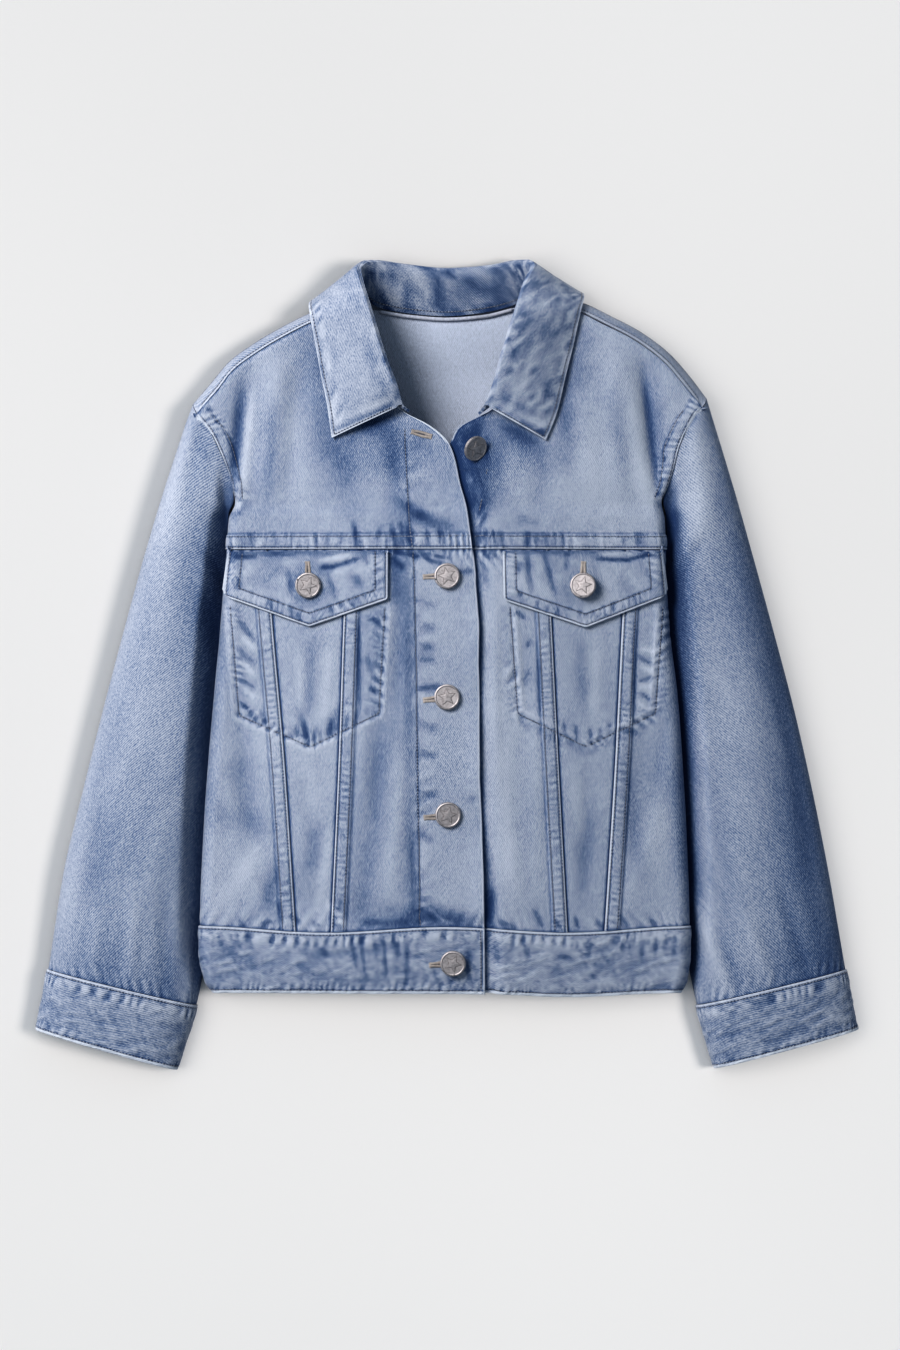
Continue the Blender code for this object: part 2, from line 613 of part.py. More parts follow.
def back_yoke_surface(k, v):
    """The back yoke: k runs from armhole to armhole, v from the seam up, over the shoulder, to its seam."""
    reach = np.where(k < 0, body["right"](250), body["left"](250))
    x_top = k * reach
    line = np.where(x_top < 0, shoulder_line["right"](x_top), shoulder_line["left"](x_top))
    away = np.where(x_top < 0, shoulder_line["right"](x_top - 1), shoulder_line["left"](x_top + 1))
    radius = SHOULDER_ROLL * np.sqrt(1 + (line - away) ** 2)
    seam_turn = math.pi - math.asin(1 - (SHOULDER_SEAM - GAP / 2) / SHOULDER_ROLL)
    flat_top = line - radius
    neck = (back_neck(x_top) - flat_top) / radius
    neck_turn = np.arcsin(np.clip(neck, -1, 1))
    share = ease((np.abs(x_top) - NECK_FLAT) / (NECK_SIDE - NECK_FLAT))
    last = neck_turn + (seam_turn - neck_turn) * share
    start = np.minimum(last - 0.4, 0)
    low = YOKE_SEAM + GAP / 2
    y_flat = low + (flat_top + radius * start - low) * np.clip(v / YOKE_BEND, None, 1)
    turned = start + (last - start) * np.clip((v - YOKE_BEND) / (1 - YOKE_BEND), 0, None)
    y = np.where(v <= YOKE_BEND, y_flat, flat_top + radius * np.sin(turned))
    over = turned > math.pi / 2
    side_reach = np.where(k < 0, body["right"](y), body["left"](y))
    a = k * np.where(k < 0, cut_end("right", y), cut_end("left", y))
    under_point, upper_point = back(a, y), front(np.clip(np.abs(a), 0, side_reach) * np.sign(a), y)
    z = np.where(over, upper_point[..., 2], under_point[..., 2])
    steep = (v > YOKE_BEND) & (shoulder_depth(under_point[..., 0], y) < SHOULDER_ROLL)
    level = np.abs(np.cos(turned))
    base_low, base_high = back_level(under_point[..., 0], y), front_level(under_point[..., 0], y)
    z_low = SHOULDER_LEVEL - (SHOULDER_LEVEL - base_low) * level
    z_high = SHOULDER_LEVEL + (base_high - SHOULDER_LEVEL) * level
    z = np.where(steep, np.where(over, z_high, z_low), z)
    return np.stack([under_point[..., 0], y, z], -1)


def back_level(x, y):
    """The back's height before the shoulder rounds it."""
    round_share = np.maximum(shoulder_round(x, y), 0.05)
    return SHOULDER_LEVEL - (SHOULDER_LEVEL - back(x, y)[..., 2]) / round_share


def front_level(x, y):
    round_share = np.maximum(shoulder_round(x, y), 0.05)
    return SHOULDER_LEVEL + (front(x, y)[..., 2] - SHOULDER_LEVEL) / round_share


def back_yoke():
    neck = [0.365, 0.335, 0.3, 0.2, 0.07]
    shares = np.array(SHOULDER_SHARES + neck)
    k = np.concatenate([-shares, shares[::-1]])
    v = back_yoke_rows()
    kk, vv = np.meshgrid(k, v)
    points, normals = framed(back_yoke_surface, kk, vv, 0.0004, -1)
    wall("back_yoke", points, normals, 0, -CLOTH)


def back_yoke_rows():
    return spread([0, YOKE_BEND * 0.396, YOKE_BEND, 1], [2, 4, 6])


def hem_line(x):
    return HEM - 2.5 * np.exp(-(((x - 85) / 40) ** 2))


def waist_band(side):
    """Front waistband of one side, from its side seam to the front edge."""
    sign = SIDES[side]
    share = np.array([0, 0.08, 0.5, 0.92, 1.0])
    rows = HEM + (WAIST_SEAM - HEM) * share
    end = front_end(side, rows) - GAP / 2
    shoulder = end - body["roll"](rows) * 1.4
    if side == "right":
        a = across_columns([-end, -shoulder, over_edge(rows) + 0.4], [3, 9])
        over = 0
    else:
        hidden = over_edge(rows)
        a = across_columns([under_edge(rows), hidden + 1, hidden + 14, shoulder, end], [3, 4, 6, 3])
        over = lap(rows[:, None], a, BAND_SINK)
    low, high = hem_line(a), waist_line(a) - GAP / 2
    y = low + (high - low) * share[:, None]
    front_wall("waistband_front_" + side, a, y, over + BAND_RISE, over - BAND_INSIDE)


def waist_band_back():
    share = np.array([0, 0.08, 0.5, 0.92, 1.0])
    rows = HEM + (WAIST_SEAM - HEM) * share
    right, left = (front_end(side, rows) - GAP / 2 for side in SIDES)
    roll, flat = body["roll"](rows) * math.pi / 2, BACK_RAMP + 12
    a = across_columns([-right, roll - right, flat - right, left - flat, left - roll, left], [3, 4, 4, 4, 3])
    low, high = hem_line(a), waist_line(a) - GAP / 2
    y = low + (high - low) * share[:, None]
    points, normals = framed(back, a, y, 0.05, -1)
    flat = ease((points[..., 2] - 1) / 3)
    wall("waistband_back", points, normals, BAND_RISE * flat, BAND_RISE * flat - BAND_RISE - BAND_INSIDE)


def armhole_ring(side, s, upper):
    """The armhole's plan and height, s from the shoulder's tip to the armpit."""
    first = SLEEVES[side][0]
    y = first.outer_y + (first.inner_y - first.outer_y) * s
    end = front_end(side, y) * SIDES[side]
    height = front(end, y) if upper else back(end, y)
    return height


def sleeve_surface(side, theta, v):
    """A sleeve's outer surface: theta runs from the outer edge over the top to the inner edge and on
    underneath, and v from the armhole to the cuff's mouth."""
    table = SLEEVES[side]
    station = np.arange(len(table), dtype=float)
    at = {name: curve(station, [getattr(row, name) for row in table])(v) for name in Sleeve._fields}
    cosine, sine = np.cos(theta), np.sin(theta)
    upper = sine >= 0
    s = (1 - cosine) / 2
    arm_up, arm_down = armhole_ring(side, s, True), armhole_ring(side, s, False)
    x = at["outer_x"] + (at["inner_x"] - at["outer_x"]) * s
    y = at["outer_y"] + (at["inner_y"] - at["outer_y"]) * s
    first = table[0]
    chord = first.outer_x + (first.inner_x - first.outer_x) * s
    clear = SIDES[side] * ARMPIT_EASE * ease((s - 0.8) / 0.2)
    x = x + at["armhole"] * (arm_up[..., 0] - chord + clear)
    edge = at["outer_z"] + (at["inner_z"] - at["outer_z"]) * s
    rise = (at["height"] - edge) * (1 - np.abs(cosine) ** 2.3) ** (1 / 2.3)
    top = edge + rise
    bottom = edge * (1 - (1 - np.abs(cosine) ** 4.5) ** (1 / 4.5))
    limit = body_clearance(side, x, y)
    soft = 1.6
    low = np.minimum(top, limit)
    least = edge + np.minimum(rise, 0.4)
    free = np.maximum(low - soft * np.log1p(np.exp(-np.abs(top - limit) / soft)), least)
    bound = ease((s - 0.35) / 0.3) * ease((1.2 - at["armhole"]) / 0.6)
    top = top + (free - top) * bound
    z = np.where(upper, top, bottom)
    middle, half = (arm_up[..., 2] + arm_down[..., 2]) / 2, (arm_up[..., 2] - arm_down[..., 2]) / 2
    half = half * np.where(cosine < 0, (1 - cosine**4) ** 0.25, 1)
    arm_z = middle + half * np.where(upper, 1, -1)
    z = z + at["armhole"] ** 3 * (arm_z - z)
    return np.stack([x, y, z], -1)


def body_clearance(side, x, y):
    """The most height that a sleeve may have beneath and beside the body's side fold."""
    y = np.minimum(y, ARMPIT)
    width, roll, lift = body[side](y), body["roll"](y), body["lift"](y)
    out = np.abs(x) - width
    under = lift * ease((out + roll + BACK_RAMP) / BACK_RAMP)
    band = BAND_RISE * ease((WAIST_SEAM + 14 - y) / 12)
    near = np.clip(out + 0.75 * roll, 0, None)
    return under - SLEEVE_CLEARANCE - band + 0.7 * near + 0.05 * np.clip(out, 0, None) ** 2


def sleeve_turns(side):
    """Turns round a sleeve that meet the corners of the yokes' armhole edges: upper half, under half."""
    first = SLEEVES[side][0]

    def turns(heights):
        s = np.clip((heights - first.outer_y) / (first.inner_y - first.outer_y), 0, 1)
        return np.arccos(1 - 2 * s)

    edge = back_yoke_surface(np.full(len(back_yoke_rows()), float(SIDES[side])), back_yoke_rows())[:, 1]
    tip = int(np.argmax(edge))
    over, under = edge[tip:], edge[: tip + 1]
    near, edge_gap = np.array([0.42, 0.8]), 0.006
    upper = np.concatenate([turns(over)[1:], turns(armhole_heights(side)[1:][::-1])])
    lower = 2 * math.pi - turns(under[(under > ARMPIT + 6) & (under < under[-1])])
    upper = np.concatenate([[edge_gap], upper, math.pi - near[::-1], [math.pi - edge_gap]])
    lower = np.concatenate([[math.pi], math.pi + near, lower, [2 * math.pi - 0.08, 2 * math.pi]])
    return upper, lower


def sleeve(side):
    sign = SIDES[side]
    v = np.array([0.03, 0.5, 1, 1.6, 2.3, 3.2, 4.2, 5.5, 6.8, 8, 8.4, 8.7, CUFF_SEAM - 0.008])
    for name, theta in zip(("sleeve_top_", "sleeve_under_"), sleeve_turns(side)):
        tt, vv = np.meshgrid(theta, v)
        points, normals = framed(lambda t, s: sleeve_surface(side, t, s), tt, vv, 0.002, sign)
        later = np.maximum(vv, v[0] + MITRE)
        inner, facing = framed(lambda t, s: sleeve_surface(side, t, s), tt, later, 0.002, sign)
        wall(name + side, points, normals, 0, -CLOTH, lining=inner - facing * SLEEVE_CLOTH)


def cuff(side):
    sign = SIDES[side]
    v = np.array([CUFF_SEAM, CUFF_SEAM + 0.1, (CUFF_SEAM + CUFF_MOUTH) / 2, CUFF_MOUTH])
    theta = np.linspace(0, 2 * math.pi, 28, endpoint=False)
    tt, vv = np.meshgrid(theta, v)
    points, normals = framed(lambda t, s: sleeve_surface(side, t, s), tt, vv, 0.002, sign)
    out = BAND_RISE * ease((points[..., 2] - 0.5) / 2)
    wall("cuff_" + side, points, normals, out, out - BAND_RISE - BAND_INSIDE, closed=True)


def collar_sections():
    """The collar's sections as curves, from the right front end round the back to the left one."""
    table = np.array(COLLARS["right"] + COLLARS["left"][-2::-1], float)
    station = np.arange(len(table), dtype=float)
    return [curve(station, table[:, k]) for k in range(table.shape[1])]


def collar_surface(u, w):
    """The collar's middle surface: u runs round the neck, w from the seam over the roll to the edge."""
    values = [section(u) for section in collar_sections()]
    neck, roll, free = (np.stack(values[k : k + 3], -1) for k in (0, 3, 6))
    bulge = values[9][..., None] * np.array([0, 0, 1.0])
    rise, drop = unit(roll - neck), unit((roll + free) / 2 + bulge - roll)
    out, side = unit(rise - drop), unit(rise + drop)
    stand_top = roll - COLLAR_ROLL * (out + side)
    fall_top = roll - COLLAR_ROLL * (out - side)
    control = (fall_top + free) / 2 + bulge
    w = w[..., None]
    t = np.clip(w / 0.4, 0, 1)
    stand = neck + (stand_top - neck) * t
    angle = np.clip((w - 0.4) / 0.2, 0, 1) * math.pi
    bend = roll - COLLAR_ROLL * (out * (1 - np.sin(angle)) + side * np.cos(angle))
    f = np.clip((w - 0.6) / 0.4, 0, 1)
    fall = (1 - f) ** 2 * fall_top + 2 * f * (1 - f) * control + f**2 * free
    return np.where(w < 0.4, stand, np.where(w < 0.6, bend, fall))


def unit(v):
    return v / np.linalg.norm(v, axis=-1, keepdims=True)


def collar():
    u = np.concatenate([np.linspace(0, 4, 6), np.linspace(4.5, 8, 8), [9, 10, 11],
                        np.linspace(12, 15.5, 8), np.linspace(16, 20, 6)])
    w = spread([0, 0.4, 0.6, 1.0], [2, 4, 4])
    uu, ww = np.meshgrid(u, w, indexing="ij")
    points = collar_surface(uu, ww)
    along = np.gradient(points, axis=0)
    across = np.gradient(points, axis=1)
    normals = unit(np.cross(across, along))
    half = COLLAR_CLOTH / 2
    wall("collar", points, normals, half, -half)


def neck_tape():
    """A narrow bound tape over the back neck seam, inside the neck."""
    sides, rings = 8, 15
    x = np.linspace(-45, 44, rings)
    centre = np.stack([x, back_neck(x) - 1.2, np.full(rings, NECK_LIFT + CLOTH + TAPE_RADIUS + 0.4)], 1)
    angle = np.arange(sides) / sides * 2 * math.pi
    points = centre[:, None] + TAPE_RADIUS * np.stack([0 * angle, np.cos(angle), np.sin(angle)], -1)
    faces = grid_faces(rings, sides, 0, False, True)
    faces += [tuple(range(sides - 1, -1, -1)), tuple((rings - 1) * sides + j for j in range(sides))]
    place("neck_tape", points.reshape(-1, 3), faces, material("tape_and_thread", (0.62, 0.65, 0.72), 0.85))


def flap(side):
    sign, f = SIDES[side], FLAPS[side]
    bend = body[side](60) - body["roll"](60)
    stops_top = [abs(f.outer_top), bend, abs(f.point_x), abs(f.inner_top)]
    stops_low = [abs(f.outer_low), bend + 1.5, abs(f.point_x), abs(f.inner_low)]
    top, low = spread(stops_top, [3, 4, 4]), spread(stops_low, [3, 4, 4])
    corners = [-abs(f.outer_low), -abs(f.point_x), -abs(f.inner_low)]
    low_y = np.interp(-low, corners, [f.outer_y, f.point_y, f.inner_y])
    v = np.linspace(0, 1, 5)[:, None]
    x, y = top + (low - top) * v, f.top_y + (low_y - f.top_y) * v
    points, normals = framed(front, across_cloth(side, x, y) * sign, y, 0.05)
    wall("pocket_flap_" + side, points, normals, FLAP_GAP + FLAP_CLOTH, FLAP_GAP)


def across_cloth(side, x, y):
    """The distance across the cloth for a place seen from above."""
    roll, turn = body["roll"](y), np.radians(body["turn"](y))
    flat = body[side](y) - roll * np.sin(turn)
    return np.where(x > flat, flat + roll * np.arcsin(np.clip((x - flat) / roll, 0, 0.999)), x)


def pocket_bag(side):
    sign, b = SIDES[side], BAGS[side]
    u, v = np.linspace(0, 1, 9), np.linspace(0, 1, 7)
    uu, vv = np.meshgrid(u, v)
    top = b.outer_top + (b.inner_top - b.outer_top) * uu
    low_x = b.outer_low + (b.inner_low - b.outer_low) * uu
    middle = abs(b.point_x - b.outer_low) / abs(b.inner_low - b.outer_low)
    low_y = np.where(uu < middle, b.low_y + (b.point_y - b.low_y) * uu / middle,
                     b.point_y + (b.low_y - b.point_y) * (uu - middle) / (1 - middle))
    x, y = top + (low_x - top) * vv, b.top_y + (low_y - b.top_y) * vv
    a = across_cloth(side, np.abs(x), y) * sign
    points, normals = framed(front, a, y, 0.05)
    wall("pocket_bag_" + side, points, normals, CLOTH - BAG_DEPTH, -BAG_DEPTH)


def button(spec):
    """A turned button: a flat disc with a rounded rim and a short shank towards the cloth."""
    point, normal = framed(front, np.array([spec.x]), np.array([spec.y]), 0.5)
    point, normal = point[0], normal[0]
    side = unit(np.cross([0, 1, 0], normal))
    up = np.cross(normal, side)
    base = GAP + spec.rise
    profile = [(0.45, 0.0), (0.5, 0.3), (0.93, 0.42), (1.0, 0.62), (0.97, 0.88), (0.88, 1.0), (0.8, 0.86)]
    segments = 14
    angle = np.arange(segments) / segments * 2 * math.pi
    rings = [
        point + normal * (base + h * BUTTON_HEIGHT)
        + r * BUTTON_RADIUS * (np.cos(angle)[:, None] * side + np.sin(angle)[:, None] * up)
        for r, h in profile
    ]
    faces = grid_faces(len(rings), segments, 0, False, True)
    last = (len(rings) - 1) * segments
    faces += [tuple(range(segments - 1, -1, -1)), tuple(last + j for j in range(segments))]
    place(spec.name, np.concatenate(rings), faces, material("button_metal", (0.55, 0.54, 0.53), 0.35, 1.0))


def main():
    for old in list(bpy.data.objects):
        bpy.data.objects.remove(old, do_unlink=True)
    for side in SIDES:
        yoke(side)
        side_panel(side)
        middle_panel(side)
        centre_panel(side)
        flap(side)
        pocket_bag(side)
        waist_band(side)
        sleeve(side)
        cuff(side)
    waist_band_back()
    back_panel()
    back_yoke()
    collar()
    neck_tape()
    for spec in BUTTONS:
        button(spec)


main()
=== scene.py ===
"""A child's denim jacket laid flat: cloth with its creases, wear and painted shade, stitches, buttons and the
stage.
"""

import math
from collections import namedtuple

import bmesh
import bpy
import numpy as np
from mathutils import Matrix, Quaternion, Vector
from mathutils.bvhtree import BVHTree


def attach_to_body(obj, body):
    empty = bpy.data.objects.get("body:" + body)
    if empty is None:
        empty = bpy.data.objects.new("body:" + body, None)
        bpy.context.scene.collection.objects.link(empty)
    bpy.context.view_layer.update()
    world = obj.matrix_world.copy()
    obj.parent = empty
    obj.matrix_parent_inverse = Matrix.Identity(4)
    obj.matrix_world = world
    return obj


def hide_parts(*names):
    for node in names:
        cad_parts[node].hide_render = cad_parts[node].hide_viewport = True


bl_info = {
    "name": "Denim Jacket",
    "version": (1, 0, 0),
    "blender": (4, 5, 0),
    "location": "View3D > Sidebar > Jacket",
    "description": "Builds a child's denim jacket laid flat, piece by piece, over its packed solids",
    "category": "Object",
}

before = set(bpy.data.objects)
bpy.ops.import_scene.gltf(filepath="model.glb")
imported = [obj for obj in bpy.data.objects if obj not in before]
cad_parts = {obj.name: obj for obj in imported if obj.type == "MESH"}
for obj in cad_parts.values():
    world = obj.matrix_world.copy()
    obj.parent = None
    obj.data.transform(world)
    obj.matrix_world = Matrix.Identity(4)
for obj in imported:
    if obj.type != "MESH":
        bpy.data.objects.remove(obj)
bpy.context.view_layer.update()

MM = 0.001
SIDES = {"right": -1, "left": 1}

# Sizes of the construction, in millimetres
GAP = 0.3
MITRE = 0.06
ARMPIT_EASE = 0.5
CLOTH = 1.2
SLEEVE_CLOTH = 1.0
SEAM_RISE = 0.9
SEAM_WIDTH = 9.8
YOKE_SEAM = 77.0
WAIST_SEAM = -174.5
WAIST_SAG = 4.0
HEM = -219.5
ARMPIT = 108.5
BAND_RISE = 1.0
BAND_INSIDE = 1.4
LAP_SINK = 2.1
BAND_SINK = 2.8
PLACKET_RISE = 0.6
SHOULDER_ROLL = 12.0
SHOULDER_SEAM = 7.0
SHOULDER_LEVEL = 13.0
BACK_RAMP = 36.0
NECK_LIFT = 4.4
FLAP_GAP = 1.3
FLAP_CLOTH = 1.8
COLLAR_CLOTH = 1.8
COLLAR_ROLL = 2.6
COLLAR_GAP = 1.4
TAPE_RADIUS = 1.3
ROW_NEAR = 1.6  # from a fold to the first row of stitches
ROW_FAR = 8.7  # from a fold to the second row
ROW_HEM = 2.4  # from a free edge to its row
FLAP_ROW = 8.4
TIP = 250.0  # a level past the shoulder's tip
STATION = 46  # along a sleeve, from one section of its table to the next
CUFF_WIDTH = 43
CUFF_HALF_ROUND = 118
INNER_STEP = 3  # rows of the outer skin to one of the inner skin

# The button's height, the camera's distance and the length that it sees, in metres
BUTTON_HEIGHT = 0.003
CAMERA_DISTANCE = 3.0
SEEN_LENGTH = 0.9045
# Colour of the painted shade in needle holes between stitches and in buttonhole slits
NEEDLE_SHADE = (0.030, 0.045, 0.085)


def rows_of(kind, *rows):
    return [kind(*row) for row in rows]


Section = namedtuple("Section", "y right left roll turn edge crown lift")
BODY = rows_of(
    Section,
    (-224, 153, 154, 7, 90, 23, 8, 8), (-219, 156.5, 157, 7.5, 90, 24, 9, 8),
    (-212, 161.5, 160.5, 8, 90, 25, 10, 8.5), (-190, 165.5, 163, 8.5, 90, 27, 12, 9),
    (-174, 165.5, 163, 9, 90, 28, 13, 9.5), (-110, 163, 161, 9.5, 90, 29, 14, 10),
    (-60, 159.5, 158, 10, 90, 30, 14, 10.5), (-20, 156, 155, 10, 90, 30, 14, 11),
    (24, 152, 149.5, 10, 90, 31, 14, 11), (60, 148.5, 147, 9.5, 90, 31, 14, 12),
    (80, 147.2, 146.9, 9, 90, 31, 13, 13), (98, 145.9, 146.2, 8.5, 90, 31, 12, 14),
    (ARMPIT, 141.8, 144.2, 8, 60, 30, 12, 13), (120, 143, 148, 8, 50, 30, 11, 6),
    (132, 147, 152, 7, 34, 29, 11, 2), (145, 152.5, 155.5, 6, 18, 28, 10, 0.5),
    (157, 158.5, 160.5, 5, 5, 27.5, 9, 0), (168, 167, 166.5, 5, 2, 27, 8, 0),
    (176, 170.2, 173.5, 5, 2, 27, 7, 0), (181, 170.2, 174.5, 5, 2, 27, 6, 0),
    (215, 170.2, 174.5, 5, 2, 27, 4, 0), (250, 170.2, 174.5, 5, 2, 28, 2, 0),
)

Shoulder = namedtuple("Shoulder", "right_x right_y left_x left_y")
SHOULDERS = rows_of(
    Shoulder,
    (-30, 249, 30, 253), (-66.5, 245, 66, 249.5), (-91.5, 236.5, 92, 243), (-107, 229, 111, 234),
    (-131, 215, 130, 224), (-146.5, 203.5, 150, 209), (-157, 191, 162.5, 195), (-170.2, 175.5, 174.5, 179.5),
)

Seams = namedtuple("Seams", "y right_outer right_inner left_inner left_outer")
SEAMS = rows_of(
    Seams,
    (-178, -100.4, -77.4, 81, 105.3), (-62, -108, -72, 74.7, 112.6), (31, -116.2, -68.7, 70, 117.3),
    (77, -119.7, -66.7, 67.5, 120),
)

Edge = namedtuple("Edge", "y x")
OVER_EDGE = rows_of(
    Edge,
    (-225, 25.5), (-175, 25), (-116, 24), (-87, 22.8), (-62, 21.8), (14, 21.8), (58, 19.8), (77, 17.2),
    (104, 13.7), (122, 9), (135, 6.4), (147, 2.3), (153.5, -3), (159.5, -10.7), (168.2, -25.8), (179, -39.2),
    (196, -49.9), (216, -58), (234, -63.3), (243, -66.7),
)
UNDER_EDGE = rows_of(
    Edge,
    (-225, -19), (58, -19), (97, -12.4), (131, -4.4), (149.4, 3), (158, 7.7), (162.5, 14.4), (166, 22),
    (179, 38.5), (196, 49.9), (216, 58), (234, 63), (247, 66),
)

# Soft folds of the fronts: a line, how wide, and how high (a trough is below zero).
Fold = namedtuple("Fold", "x0 y0 x1 y1 width depth")
FOLDS = rows_of(
    Fold,
    (-131, 203, -136, 122, 10, -2.4), (-112, 205, -117, 110, 9, 1.8), (-98, 200, -104, 118, 8, -1.6),
    (131, 206, 139, 128, 10, -2.4), (113, 205, 117, 112, 9, 1.6), (-138, -20, -128, -120, 9, -1.4),
    (-120, -150, -40, -172, 10, -1.2), (134, -40, 120, -140, 10, -1.4), (52, 30, 44, -120, 10, -0.8),
)
# Smaller creases of the fronts, laid over those.
CREASES = rows_of(
    Fold,
    (-138, 176, -145, 112, 4, -1.2), (-129, 180, -137, 112, 5, 1.2), (-112, 178, -116, 124, 6, -0.6),
    (-98, 180, -100, 110, 7, 0.6), (-80, 160, -62, 96, 8, -0.5), (-36, 140, -38, 100, 5, -0.4),
    (132, 192, 141, 112, 3.6, -1), (123, 194, 133, 110, 5, 1.2), (112, 180, 118, 120, 6, -0.4),
    (94, 178, 96, 112, 8, 0.7), (66, 140, 60, 100, 8, -0.5), (-150, 66, -139, 10, 5, 0.5),
    (-152, 20, -133, -62, 5, -0.5), (-151, -70, -122, -158, 6, 0.5), (-140, -112, -112, -168, 4, -0.5),
    (-92, -70, -86, -150, 7, -0.6), (-58, -40, -50, -150, 6, 0.5), (-44, -36, -56, -168, 7, -1.1),
    (-30, -60, -38, -160, 6, 0.7), (-140, -60, -134, -110, 9, -0.7), (-30, 60, -34, -40, 4, -0.6),
    (-24, -104, -20, -150, 4, -0.5), (151, 60, 139, 0, 5, 0.5), (150, -20, 136, -96, 5, -0.5),
    (146, -90, 120, -160, 6, 0.35), (94, -66, 92, -150, 7, -0.6), (60, -30, 60, -150, 6, 0.5),
    (36, 40, 38, -60, 4, -0.5), (40, -80, 46, -160, 5, 0.5),
)
